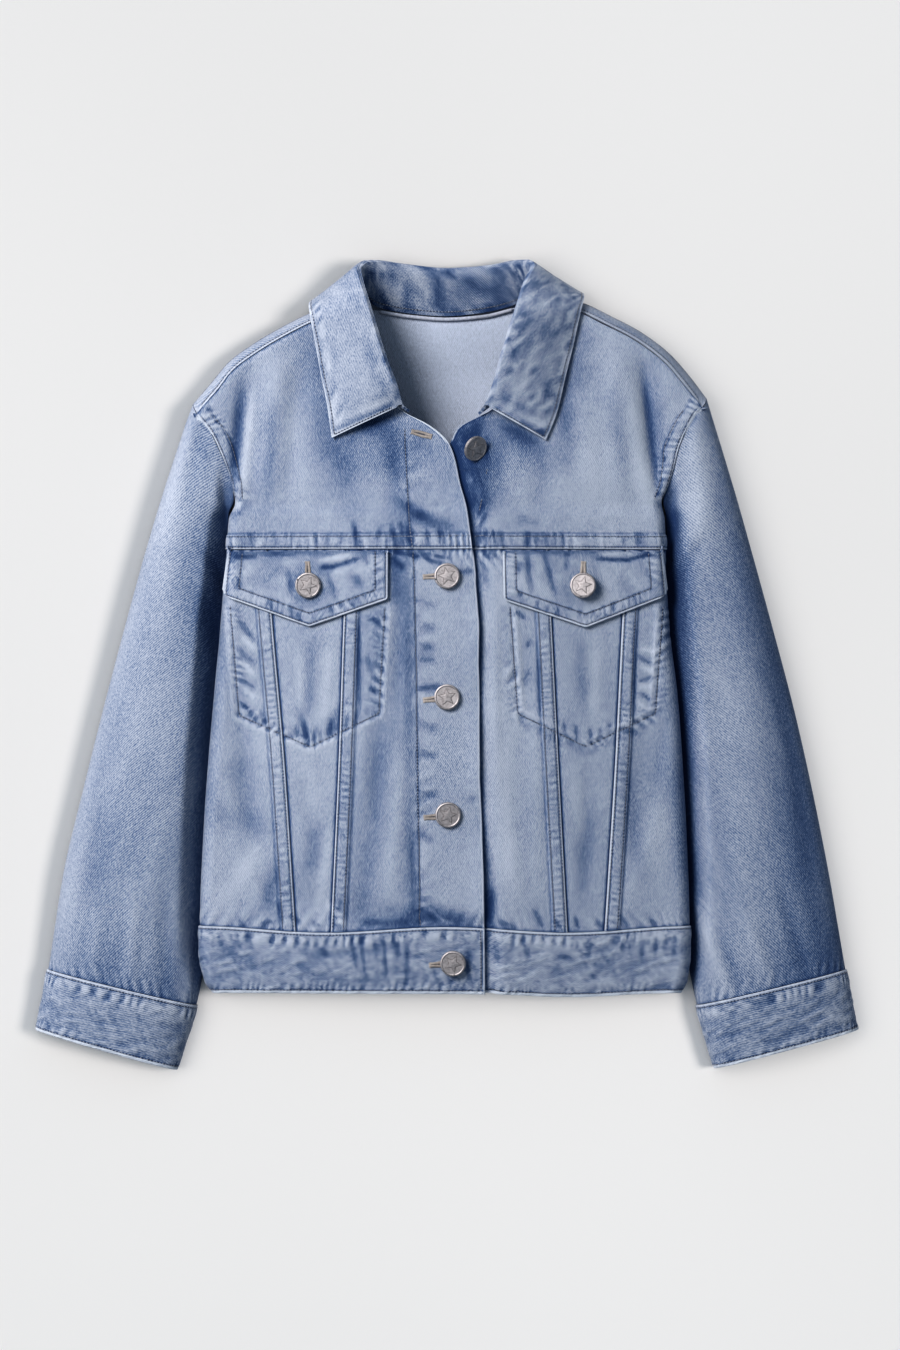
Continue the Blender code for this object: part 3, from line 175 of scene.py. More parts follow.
# Streaks of unfaded cloth in the small puckers of the fronts, painted shadow under the collar, the yoke band
# and beside the flaps and the over edge, soft painted shade in folds, and a few pale ridges; depth is their
# wear.
STREAKS_AND_SHADES = rows_of(
    Fold,
    # yoke band
    (-131, 88, -131, 79, 1.6, -0.7), (-86, 88, -87, 79, 1.3, -0.4), (-78, 88, -79, 79, 1.3, -0.5),
    (-70, 88, -71, 79, 1.3, -0.5), (-62, 95, -59, 77, 1.7, -1), (-44, 93, -46, 80, 1.5, -0.5),
    (-37, 94, -34, 77, 1.5, -1), (-31, 96, -29, 77, 1.4, -0.8), (-27, 94, -25.5, 77, 1.4, -1),
    (-23, 92, -22, 77, 1.3, -0.8), (-13, 91, -12, 79, 1.4, -0.6), (-5, 91, -4, 80, 1.4, -0.6),
    (22, 90, 23, 80, 1.5, -0.8), (26, 91, 27, 79, 1.4, -0.9), (31, 90, 32, 79, 1.4, -0.9),
    (36, 90, 36, 79, 1.4, -0.8), (42, 88, 43, 80, 1.3, -0.5), (54, 89, 54, 79, 2.4, -0.9),
    (60, 88, 60, 79, 1.3, -0.7), (63.8, 88, 64, 79, 1.2, -0.6), (67.5, 88, 67, 79, 1.2, -0.7),
    (72, 88, 72, 79, 1.2, -0.6), (77, 88, 77, 79, 1.3, -0.7), (118, 88, 118, 79, 1.4, -0.6),
    (128, 89, 128, 79, 1.8, -1), (132, 88, 132, 79, 1.2, -0.6),
    # above the band, and down the yokes, with painted shadow under the collar's leaves
    (-27, 101, 4, 91, 5, -0.7), (-33, 110, -12, 97, 3.5, -0.6), (27, 102, 22, 91, 1.8, -0.8),
    (24, 108, 21, 98, 1.8, -0.7), (46, 98, 62, 94, 3, -0.3), (-56, 164, -34, 152, 8, -0.4),
    (-62, 156, -32, 168, 5, -0.6), (30, 166, 62, 148, 5, -0.6), (-40, 150, -32, 124, 6, -0.3),
    (36, 158, 64, 142, 7, -0.35), (34, 150, 34, 104, 5, -0.35), (80, 206, 78, 152, 5, -0.3),
    (-137, 190, -142, 118, 3.4, -0.45), (-129, 190, -136, 114, 2.6, 0.3), (-116, 178, -120, 104, 4, -0.22),
    (-69, 186, -62, 100, 7, -0.15), (132.5, 192, 141.5, 114, 2.2, -0.5), (127.5, 192, 137, 112, 2.4, 0.35),
    (139, 184, 146, 120, 4.5, -0.25), (112, 186, 120, 110, 6, -0.2),
    # under the band, between the flaps: painted shadow below the band, beside the flaps and the over edge
    (-37, 75.5, -12, 71, 1.7, -1), (-14, 71, -2, 66.5, 1.6, -0.9), (-20, 75, 2, 71, 1.4, -0.7),
    (-38, 72, -28, 64, 3, -0.7), (-35, 74, -34, 40, 4.5, -0.6), (8, 62, 18, 62, 2, -0.6),
    (23, 75, 34, 72, 3, -0.7), (24, 70, 27, 52, 2.4, -0.5),
    # placket
    (-20, 43, -6, 39, 3.4, -0.35), (-20, 28, -7, 23, 3.4, -0.4), (-19, 14, -8, 11, 3.2, -0.6),
    (-18, 4, -8, 3, 2.6, -0.5), (-19, -16, -3, -14.5, 2.4, -0.9), (-19, -38, -6, -43, 3.4, -0.4),
    (-19, -58, -6, -61, 3, -0.5), (-20, -84, -6, -87, 2.6, -0.5), (-18, -112, -8, -118, 3, -0.45),
    (14, -88, 20, -90, 3, -0.4), (-25, 60, -24, -60, 3.5, -0.3), (-23, -110, -21, -172, 2.5, -0.35),
    (-24, -165, 19, -171, 6, -0.9), (-19, -152, -4, -173, 3.2, -0.4), (-17, -158, 1, -173, 1.5, 0.7),
    # soft shades in the middle panels
    (-89, 16, -93, -34, 4.5, -0.3), (-78, 12, -83, -36, 4, 0.3), (-98, 10, -97, -30, 3, 0.25),
    (-99, -30, -92, -53, 3, -0.5), (-72, -28, -78, -48, 3, -0.45), (-94, -64, -86, -108, 5, 0.25),
    (-84, -100, -95, -150, 5, -0.15), (-78, -110, -86, -165, 4, 0.25), (88, 20, 92, -30, 5, -0.3),
    (100, 14, 98, -36, 4, 0.25), (84, -70, 92, -120, 5, 0.25), (96, -100, 88, -160, 5, -0.3),
    (-156, -96, -124, -112, 8, -0.2), (-150, -160, -122, -118, 6, 0.3), (-124, -166, -112, -132, 5, -0.35),
    (118, -60, 132, -150, 7, -0.3), (152, -60, 158, -150, 8, -0.4),
    # above the waistband
    (-56, -172, -20, -172, 3.2, -0.7), (-40, -160, -26, -171, 6, -0.3), (-80, -158, -66, -175, 2.6, 0.5),
    (-70, -156, -76, -174, 2.2, -0.4), (-90, -171, -84, -175, 1.7, -0.6), (-104, -166, -98, -173, 2, -0.7),
    (-112, -158, -110, -173, 2, -0.5), (-124, -174, -116, -171, 2, -0.7), (-140, -168, -136, -175, 1.7, -0.5),
    (30, -150, 28, -174, 3, -0.9), (34, -171, 46, -175, 2.5, -0.8), (58, -163, 64, -175, 2, -0.7),
    (72, -169, 76, -176, 1.7, -0.7), (86, -168, 88, -176, 1.6, -0.6), (99, -171, 106, -176, 2, -0.6),
    (118, -169, 122, -175, 1.8, -0.7), (135, -170, 141, -174, 2, -0.6),
    # inside the pockets' outlines
    (-139, 30, -128, 16, 2, -0.6), (-137, 20, -127, 9, 2, 0.4), (-139, 10, -128, 1, 2, -0.5),
    (-137, 2, -127, -8, 2, 0.4), (-138, -9, -128, -16, 1.8, -0.5), (-137, -16, -127, -22, 2, 0.4),
    (-137, -24, -126, -39, 1.8, -0.5), (-124, -30, -121, -40, 1.6, -0.6), (-58.5, 28, -58, -34, 1.7, -0.7),
    (-52, 31, -44, 29, 2, -0.7), (-53, 5, -50, -4, 2, -0.6), (-51, -15, -48, -19, 2, -0.6),
    (-101, -40, -99, -48, 1.5, -0.5), (-95, -38, -93, -51, 1.8, -0.7), (-87, -42, -88, -51, 1.5, -0.5),
    (-77, -36, -78, -47, 1.8, -0.7), (45, 36, 53, 31, 2, -0.8), (57, 17, 53, 12, 2, -0.6),
    (56, -2, 50, -14, 2.4, -0.4), (61, 12, 62, -38, 1.6, -0.5), (125.5, 32, 125, -34, 1.6, -0.6),
    (129, 12, 140, 8, 2, 0.5), (128, 6, 138, 0, 1.6, -0.6), (130, -1, 139, -5, 2, 0.5),
    (129, -11, 138, -8, 1.6, -0.6), (128, -15, 137, -14, 2, 0.45), (129, -18, 137, -24, 1.6, -0.6),
    (127, -24, 135, -30, 2, 0.45), (131, -30, 138, -34, 1.6, -0.55), (78, -38, 79, -48, 1.5, -0.7),
    (86, -40, 87, -50, 1.5, -0.6), (96, -42, 96, -51, 1.6, -0.7), (103, -42, 102, -50, 1.5, -0.6),
    (109, -38, 108, -46, 1.4, -0.6),
)
FLAP_STREAKS = rows_of(
    Fold,
    (-144, 72, -126, 72, 2, -0.9), (-120, 74, -100, 73, 1.6, -0.4), (-84, 65, -74, 65, 1.7, -1),
    (-76, 65, -65, 68, 1.7, -1), (-67, 68, -58, 71, 1.7, -0.9), (-84, 69, -64, 73, 1.5, 0.5),
    (-55, 73, -52, 66, 2, -0.6), (-105, 64, -103, 46, 2, -0.6), (-79, 62, -73, 43, 2, -0.6),
    (-62, 60, -55, 51, 2.6, -0.45), (-140, 58, -137, 50, 2, -0.5), (-118, 43, -116, 37, 1.4, -0.6),
    (-104, 37, -102, 31, 1.4, -0.6), (-99, 35, -97, 28, 1.6, -0.9), (-77, 40, -76, 33, 1.5, -0.7),
    (-71, 42, -70, 36, 1.4, -0.7), (-62, 44, -61, 39, 1.4, -0.5), (99, 71, 111, 70, 1.6, -1),
    (109, 70, 123, 70, 1.6, -1), (121, 70, 136, 74, 1.6, -0.9), (102, 74, 128, 75, 1.5, 0.5),
    (53, 76, 56, 48, 2, -0.7), (64, 76, 72, 46, 2, -0.7), (80, 76, 79, 63, 1.8, -0.6),
    (48, 69, 47, 60, 2, -0.7), (50, 48, 49, 42, 1.5, -0.7), (60, 43, 60, 37, 1.5, -0.7),
    (67, 40, 66, 34, 1.5, -0.7), (74, 38, 73, 32, 1.4, -0.6), (88, 36, 88, 30, 1.4, -0.6),
    (98, 37, 98, 31, 1.4, -0.5), (110, 41, 111, 36, 1.3, -0.5),
)
BAND_STREAKS = rows_of(
    Fold,
    (-152, -179, -149, -190, 1.8, -0.6), (-140, -179, -138, -189, 1.6, -0.6),
    (-133, -179, -131, -190, 1.5, -0.5), (-120, -182, -117, -186, 1.8, -0.8),
    (-113, -179, -112, -190, 1.5, -0.5), (-100, -200, -90, -206, 3, -0.6), (-84, -188, -79, -194, 2.6, -0.9),
    (-78, -180, -76, -190, 1.5, -0.5), (-64, -179, -60, -200, 1.8, -0.9), (-57, -180, -54, -210, 1.6, -0.8),
    (-49, -179, -46, -196, 1.6, -0.8), (-42, -178, -40, -212, 1.6, -0.8), (-36, -178, -31, -196, 1.7, -1),
    (-26, -178, -27, -214, 1.8, -0.9), (-15, -184, -14, -176, 1.6, -0.7), (-8, -205, -5, -215, 1.6, -0.7),
    (6, -206, 2, -214, 1.5, -0.6), (14, -182, 15, -214, 1.8, -0.8), (32, -180, 34, -200, 2, -0.7),
    (44, -181, 43, -192, 1.8, -0.7), (52, -181, 54, -196, 1.8, -0.8), (72, -194, 84, -196, 2.4, -0.8),
    (86, -181, 87, -190, 1.6, -0.6), (95, -181, 94, -196, 1.8, -1), (104, -200, 96, -210, 2.2, -0.7),
    (118, -182, 117, -192, 1.6, -0.8), (123, -181, 122, -190, 1.3, -0.8), (132, -182, 130, -196, 1.8, -0.9),
    (140, -182, 139, -194, 1.6, -0.8), (147, -182, 146, -192, 1.5, -0.8), (153, -182, 152, -194, 1.5, -0.8),
)
BACK_CREASES = rows_of(
    Fold,
    (-110, 60, -60, -40, 9, -0.9), (-70, -30, 20, -80, 10, 0.8), (100, 50, 70, -60, 9, -0.9),
    (40, 30, -10, -120, 11, 0.7), (-120, -120, -30, -160, 8, -0.8), (120, -100, 50, -165, 8, -0.8),
    (0, 130, 6, 60, 9, 0.6),
)

Sleeve = namedtuple("Sleeve", "outer_x outer_y inner_x inner_y armhole outer_z inner_z height")
SLEEVES = {
    "right": rows_of(
        Sleeve,
        (-170.2, 175.5, -141.5, 108.5, 1, 13, 22, 28), (-174.2, 165, -145.5, 100, 0.75, 13, 16, 29),
        (-181.2, 144.1, -146, 85.5, 0.35, 13, 11, 30), (-192, 110.6, -142, 67, 0.06, 13, 7, 32),
        (-202, 77.1, -135.5, 48, 0, 13, 5, 33), (-216.7, 23.5, -134, 1, 0, 13, 4, 34),
        (-230.8, -30.2, -138.5, -52.3, 0, 13, 4, 34), (-244.2, -83.8, -147, -107.2, 0, 13, 4, 33),
        (-256.9, -137.3, -155.5, -161.5, 0, 13, 5, 32), (-267.7, -204.4, -168.3, -228.5, 0, 12, 9, 29),
        (-275.7, -245.2, -181.9, -272, 0, 11, 10, 26),
    ),
    "left": rows_of(
        Sleeve,
        (174.5, 179.5, 144, 108.5, 1, 13, 22, 28), (178.3, 167, 146.3, 100, 0.75, 13, 16, 29),
        (185.3, 144.1, 146.8, 85.5, 0.35, 13, 11, 30), (195.3, 110.6, 142.5, 67, 0.06, 13, 7, 32),
        (204.7, 77.1, 136.5, 48, 0, 13, 5, 33), (219.4, 23.5, 135.5, 1, 0, 13, 4, 34),
        (233.5, -30.2, 139, -52.3, 0, 13, 4, 34), (245.6, -83.8, 147, -107.2, 0, 13, 4, 33),
        (256.3, -137.3, 155.5, -161.5, 0, 13, 5, 32), (268, -204.4, 168.3, -228.5, 0, 12, 9, 29),
        (275.7, -245.2, 180.5, -271, 0, 11, 10, 26),
    ),
}
CUFF_SEAM = 9.0
CUFF_MOUTH = 10.0
SLEEVE_CLEARANCE = 2.0

# Creases of a sleeve: stations v, and turns across the top from the outer edge (0) to the inner one (1).
SleeveCrease = namedtuple("SleeveCrease", "turn0 v0 turn1 v1 width depth")
SLEEVE_CREASES = {
    "right": rows_of(
        SleeveCrease,
        (0.3, 0.2, 0.36, 2.6, 7, -0.8), (0.55, 0.1, 0.6, 2, 7, 0.7), (0.2, 1.6, 0.34, 4.6, 9, 0.7),
        (0.55, 3.2, 0.75, 4.2, 7, -0.9), (0.5, 4.2, 0.72, 5, 7, -0.7), (0.16, 5.4, 0.34, 8.4, 9, -0.8),
        (0.5, 6, 0.56, 8.6, 9, 0.7), (0.34, 8.3, 0.37, 9, 4, 0.6), (0.48, 8, 0.54, 9, 3.5, 0.9),
        (0.6, 7.9, 0.7, 9, 4.5, -0.8), (0.74, 8.3, 0.86, 9, 3.5, 0.9),
    ),
    "left": rows_of(
        SleeveCrease,
        (0.3, 0.2, 0.5, 3.4, 10, 1.2), (0.68, 0.9, 0.82, 3.6, 7, -1.2), (0.6, 0.2, 0.66, 1.8, 6, 0.8),
        (0.5, 3.2, 0.72, 4.4, 7, -0.9), (0.3, 4.4, 0.44, 7.4, 10, 0.8), (0.16, 5.2, 0.24, 8.2, 8, -0.8),
        (0.56, 5.8, 0.66, 8.7, 8, -0.9), (0.4, 8, 0.34, 9, 4, -0.7), (0.56, 8.2, 0.5, 9, 3.5, 0.9),
        (0.8, 7.9, 0.68, 9, 4, 0.8), (0.7, 8.2, 0.62, 9, 3.5, -0.7),
    ),
}

Collar = namedtuple("Collar", "nx ny nz rx ry rz fx fy fz bulge")
COLLARS = {
    "right": rows_of(
        Collar,
        (-25, 169.2, 37, -30.5, 173.6, 41.4, -76.4, 151.4, 35.5, 3),
        (-38.2, 180, 35.5, -34, 186.5, 46, -79.4, 173.5, 33.8, 3),
        (-48.8, 197, 33.5, -40.3, 203, 47.5, -83.4, 193, 32.5, 3),
        (-56.8, 216.5, 31.5, -46.6, 223, 47, -87.2, 214, 31.8, 3),
        (-61, 233.5, 30, -52, 241, 44, -90.5, 231.5, 31, 4),
        (-63, 243.5, 23, -56.5, 255.5, 36.5, -92, 240.5, 20, 2),
        (-60.5, 248, 15, -58.5, 265, 28.5, -91.5, 243.5, 11, 1),
        (-54.5, 246.5, 9.5, -53, 270, 22, -88, 240, 3, -3),
        (-47.5, 241.8, 6.6, -44, 270.5, 18, -76, 230, 1.2, -6.5),
        (-28, 237.4, 5.8, -26, 268.5, 15, -44, 221.5, 1.2, -6.8),
        (0, 235.2, 5.6, 0, 266, 14, 0, 219.5, 1.2, -6.8),
    ),
    "left": rows_of(
        Collar,
        (21.5, 167.4, 37, 26.4, 173.2, 41.4, 66, 150.1, 36.5, 3),
        (37.5, 180, 35.5, 31.8, 187, 46, 73.5, 169, 34.5, 3),
        (48.8, 197, 33.5, 36, 203, 47.5, 79, 192.3, 33.2, 3),
        (56.8, 217, 31.5, 41.5, 221.5, 47, 84.5, 214.5, 31.5, 3),
        (60.5, 235.5, 30, 46.9, 238, 44.5, 89, 235, 31.5, 4),
        (62.5, 247.5, 23, 52, 254.5, 36.5, 92, 246, 20, 2),
        (60, 252, 15, 57.5, 266.5, 28.5, 91.5, 249, 11, 1),
        (54.5, 249.5, 9.5, 52.5, 270.5, 22, 88, 244.5, 3, -3),
        (47.5, 243.8, 6.6, 44, 270.5, 18, 76, 232.5, 1.2, -6.5),
        (28, 238.2, 5.8, 27, 267.8, 15, 44, 222, 1.2, -6.8), (0, 235.2, 5.6, 0, 266, 14, 0, 219.5, 1.2, -6.8),
    ),
}

SHOULDER_SHARES = [1, 0.95, 0.9, 0.83, 0.76, 0.69, 0.62, 0.56, 0.5, 0.45, 0.42, 0.396]
YOKE_SPLIT = 152.0
NECK_SIDE = 68.5
NECK_FLAT = 57.0
YOKE_BEND = 0.62
Neck = namedtuple("Neck", "x y")
BACK_NECK = rows_of(
    Neck,
    (-66, 241), (-50, 239.6), (-25, 235.8), (0, 233.9), (25, 235.8), (50, 241.5), (66, 243),
)

Flap = namedtuple("Flap", "outer_top outer_low outer_y point_x point_y inner_top inner_low inner_y top_y")
FLAPS = {
    "right": Flap(-144.5, -147.5, 45.5, -91, 25.5, -38.7, -38.8, 43.6, 75.6),
    "left": Flap(143.0, 145.5, 45.5, 92.5, 24.8, 37.3, 37.9, 43.0, 75.6),
}

Button = namedtuple("Button", "name x y on turn lean_x lean_y")
BUTTONS = [
    Button("button_1", 0.3, 59.0, "centre_front_right", 8, -0.03, 0.03),
    Button("button_2", 0.3, -21.4, "centre_front_right", -14, -0.03, 0.02),
    Button("button_3", 1.0, -99.8, "centre_front_right", 30, 0.03, -0.03),
    Button("button_waist", 4.4, -198.3, "waistband_front_right", 12, -0.08, 0.07),
    Button("button_flap_right", -91.5, 52.9, "pocket_flap_right", 20, 0.10, -0.06),
    Button("button_flap_left", 90.1, 52.9, "pocket_flap_left", -6, -0.24, 0.16),
    Button("button_neck", 19.5, 143.6, "front_yoke_left", 25, 0.68, -0.60),
]

# Rows of stitches seen from above, in plan.
POCKET_ROWS = {
    "right": [(-144.5, 40), (-138.7, -33.7), (-91, -54.6), (-45.1, -32.3), (-41, 39)],
    "left": [(42.3, 39), (47.4, -32.5), (92.8, -54.6), (139.6, -32.5), (144.6, 39)],
}
PLACKET_ROW = [(-27.8, 150), (-24.5, 90.5), (-21.8, 70), (-19.8, -23.5), (-17.8, -175)]
UNDER_ROW = [(29.5, 153), (28.5, 140.7), (24.5, 113.9), (21.8, 102.5)]


# --- properties


def length_property(name, words, value, low, high):
    return bpy.props.FloatProperty(name=name, description=words, default=value, min=low, max=high,
                                   unit="LENGTH")


class JacketSizes(bpy.types.PropertyGroup):
    """Sizes of the finish, which can change without changing the cut."""

    cell: length_property("Cloth cell", "Spacing of the cloth's points", 0.0013, 0.001, 0.01)
    weave: length_property("Twill pitch", "Spacing of the twill's diagonal lines", 0.00112, 0.0004, 0.004)
    pucker: length_property("Pucker height", "Height of the ripples along the seams", 0.0005, 0.0, 0.002)
    stitch: length_property("Stitch pitch", "From one stitch to the next", 0.0022, 0.0015, 0.005)
    thread: length_property("Thread width", "Width of the sewing thread", 0.0007, 0.0003, 0.002)
    button: length_property("Button width", "Diameter of a metal button", 0.0174, 0.01, 0.03)


def color_property(name, words, value):
    return bpy.props.FloatVectorProperty(name=name, description=words, subtype="COLOR", size=3,
                                         min=0, max=1, default=value)


class JacketColors(bpy.types.PropertyGroup):
    """Colours of the washed cloth, the threads and the metal."""

    # The deep and dark tones also carry painted shade: valleys beside the body, under laps, the collar and the
    # flaps, and beside seams.
    deep: color_property("Deep", "Cloth that the wash hasn't reached", (0.020, 0.047, 0.124))
    dark: color_property("Dark", "Troughs beside seams", (0.099, 0.150, 0.260))
    middle: color_property("Middle", "The flat cloth", (0.333, 0.361, 0.440))
    light: color_property("Light", "Raised cloth", (0.458, 0.486, 0.563))
    worn: color_property("Worn", "Edges and ridges", (0.550, 0.580, 0.642))
    reverse: color_property("Reverse", "The cloth's inner side", (0.438, 0.470, 0.562))
    thread: color_property("Thread", "Topstitching", (0.235, 0.242, 0.280))
    hole: color_property("Buttonhole", "Buttonhole thread", (0.360, 0.315, 0.290))
    metal: color_property("Metal", "Buttons", (0.415, 0.382, 0.384))
    floor: color_property("Floor", "The surface it lies on", (0.860, 0.860, 0.862))


def sizes():
    return bpy.context.scene.jacket_sizes


def colors():
    return bpy.context.scene.jacket_colors


# --- curves and surfaces


def curve(xs, ys):
    """A smooth curve through the points that never overshoots them; it is held level past its ends."""
    xs, ys = np.array(xs, float), np.array(ys, float)
    if xs[0] > xs[-1]:
        xs, ys = xs[::-1], ys[::-1]
    step = np.diff(xs)
    slope = np.diff(ys) / step
    tangent = np.zeros(len(xs))
    same = slope[:-1] * slope[1:] > 0
    w0, w1 = 2 * step[1:] + step[:-1], step[1:] + 2 * step[:-1]
    with np.errstate(divide="ignore", invalid="ignore"):
        mean = (w0 + w1) / (w0 / slope[:-1] + w1 / slope[1:])
    tangent[1:-1] = np.where(same, mean, 0)
    tangent[0], tangent[-1] = slope[0], slope[-1]

    def value(x):
        x = np.clip(np.asarray(x, float), xs[0], xs[-1])
        i = np.clip(np.searchsorted(xs, x, side="right") - 1, 0, len(xs) - 2)
        h = step[i]
        t = (x - xs[i]) / h
        a = (1 + 2 * t) * (1 - t) ** 2 * ys[i] + t * (1 - t) ** 2 * h * tangent[i]
        return a + t * t * (3 - 2 * t) * ys[i + 1] + t * t * (t - 1) * h * tangent[i + 1]

    return value


def column(table, key, name):
    return curve([getattr(row, key) for row in table], [getattr(row, name) for row in table])


def ease(t):
    t = np.clip(t, 0, 1)
    return t * t * (3 - 2 * t)


def bell(t):
    return np.exp(-(t**2))


body = {name: column(BODY, "y", name) for name in Section._fields[1:]}
shoulder_line = {name: column(SHOULDERS, name + "_x", name + "_y") for name in SIDES}
seam = {name: column(SEAMS, "y", name) for name in Seams._fields[1:]}
over_edge = column(OVER_EDGE, "y", "x")
under_edge = column(UNDER_EDGE, "y", "x")
back_neck = column(BACK_NECK, "x", "y")


def half_width(x, y):
    return np.where(x < 0, body["right"](y), body["left"](y))


def waist_line(x):
    return WAIST_SEAM - WAIST_SAG * np.sin(math.pi * x / 165) ** 2


def hem_line(x):
    return HEM - 2.5 * bell((x - 85) / 40)


def shoulder_top(x):
    """The shoulder's top line seen from above, and how much its slant lengthens a step across it."""
    top = np.where(x < 0, shoulder_line["right"](x), shoulder_line["left"](x))
    away = np.where(x < 0, shoulder_line["right"](x - 1), shoulder_line["left"](x + 1))
    return top, np.sqrt(1 + (top - away) ** 2)


def shoulder_depth(x, y):
    """Distance from the shoulder's top line, square to it."""
    top, slant = shoulder_top(x)
    return (top - y) / slant


def shoulder_round(x, y):
    near = np.clip(1 - shoulder_depth(x, y) / SHOULDER_ROLL, 0, 1)
    return np.sqrt(1 - near**2)


def fold_height(folds, x, y):
    """What soft folds add to a height."""
    total = np.zeros(np.broadcast(x, y).shape)
    for f in folds:
        dx, dy = f.x1 - f.x0, f.y1 - f.y0
        length = np.hypot(dx, dy)
        t = ((x - f.x0) * dx + (y - f.y0) * dy) / length**2
        across = np.abs((x - f.x0) * dy - (y - f.y0) * dx) / length
        total = total + f.depth * bell(across / f.width) * np.exp(-((2 * t - 1) ** 4))
    return total


def wrapped(a, y):
    """Round the body at a: the side fold's roll, where the flat part ends, the turn past it, and x."""
    roll, turn = body["roll"](y), np.radians(body["turn"](y))
    flat = half_width(a, y) - roll * np.sin(turn)
    angle = np.clip((np.abs(a) - flat) / roll, 0, None)
    return roll, flat, angle, np.where(angle > 0, flat + roll * np.sin(angle), np.abs(a)) * np.sign(a)


def closed_in(x, y, z, angle):
    """Points whose height closes in on the shoulder's level near the shoulder."""
    z = SHOULDER_LEVEL + (z - SHOULDER_LEVEL) * np.where(angle > 0.2, 1, shoulder_round(x, y))
    return np.stack([x, y + 0 * x, z], -1)


def front(a, y):
    """The front's outer surface. a runs across the cloth, from the middle round to the side fold."""
    roll, flat, angle, x = wrapped(a, y)
    middle = np.clip(1 - (x / flat) ** 2, 0, 1) ** 1.5
    z = body["edge"](y) + body["crown"](y) * middle - roll * (1 - np.cos(angle))
    z = z + fold_height(FOLDS, x, y) * np.cos(np.clip(angle, 0, math.pi / 2)) * shoulder_round(x, y)
    return closed_in(x, y, z, angle)


def front_end(side, y):
    """How far a reaches at the side fold or the armhole."""
    width, roll, turn = body[side](y), body["roll"](y), np.radians(body["turn"](y))
    return width - roll * np.sin(turn) + roll * turn


def cut_end(side, y):
    """Where the yokes are cut at the side seam and the armhole."""
    return front_end(side, y) - GAP / 2 - ARMPIT_EASE * bell((y - ARMPIT) / 7)


def across_cloth(side, x, y):
    """The distance across the cloth for a place seen from above."""
    roll, turn = body["roll"](y), np.radians(body["turn"](y))
    flat = body[side](y) - roll * np.sin(turn)
    return np.where(x > flat, flat + roll * np.arcsin(np.clip((x - flat) / roll, 0, 0.999)), x)


def back(a, y):
    """The back's outer surface, which faces the floor."""
    roll, flat, angle, x = wrapped(a, y)
    lift = body["lift"](y)
    fold_level = body["edge"](y) - roll
    z = lift * ease((np.abs(x) - flat + BACK_RAMP) / BACK_RAMP) + (fold_level - lift) * (1 - np.cos(angle))
    under_neck = ease((y - 198) / 16) * ease((122 - np.abs(x)) / 18)
    return closed_in(x, y, np.maximum(z, 0) + NECK_LIFT * under_neck, angle)


def level_of(surface, x, y):
    """A surface's height before the shoulder closes it in."""
    return SHOULDER_LEVEL + (surface(x, y)[..., 2] - SHOULDER_LEVEL) / np.maximum(shoulder_round(x, y), 0.05)


def back_yoke_surface(k, v):
    """The back yoke: k runs from armhole to armhole, v from the seam up, over the shoulder, to its seam."""
    x_top = k * np.where(k < 0, body["right"](TIP), body["left"](TIP))
    line, slant = shoulder_top(x_top)
    radius = SHOULDER_ROLL * slant
    seam_turn = math.pi - math.asin(1 - (SHOULDER_SEAM - GAP / 2) / SHOULDER_ROLL)
    flat_top = line - radius
    neck = (back_neck(x_top) - flat_top) / radius
    neck_turn = np.arcsin(np.clip(neck, -1, 1))
    share = ease((np.abs(x_top) - NECK_FLAT) / (NECK_SIDE - NECK_FLAT))
    last = neck_turn + (seam_turn - neck_turn) * share
    start = np.minimum(last - 0.4, 0)
    low = YOKE_SEAM + GAP / 2
    y_flat = low + (flat_top + radius * start - low) * np.clip(v / YOKE_BEND, None, 1)
    turned = start + (last - start) * np.clip((v - YOKE_BEND) / (1 - YOKE_BEND), 0, None)
    y = np.where(v <= YOKE_BEND, y_flat, flat_top + radius * np.sin(turned))
    over = turned > math.pi / 2
    a = k * np.where(k < 0, cut_end("right", y), cut_end("left", y))
    under_point, upper_point = back(a, y), front(np.clip(np.abs(a), 0, half_width(k, y)) * np.sign(a), y)
    z = np.where(over, upper_point[..., 2], under_point[..., 2])
    x, level = under_point[..., 0], np.abs(np.cos(turned))
    steep = (v > YOKE_BEND) & (shoulder_depth(x, y) < SHOULDER_ROLL)
    z_low, z_high = (SHOULDER_LEVEL + (level_of(surface, x, y) - SHOULDER_LEVEL) * level
                     for surface in (back, front))
    z = np.where(steep, np.where(over, z_high, z_low), z)
    return np.stack([x, y, z], -1)


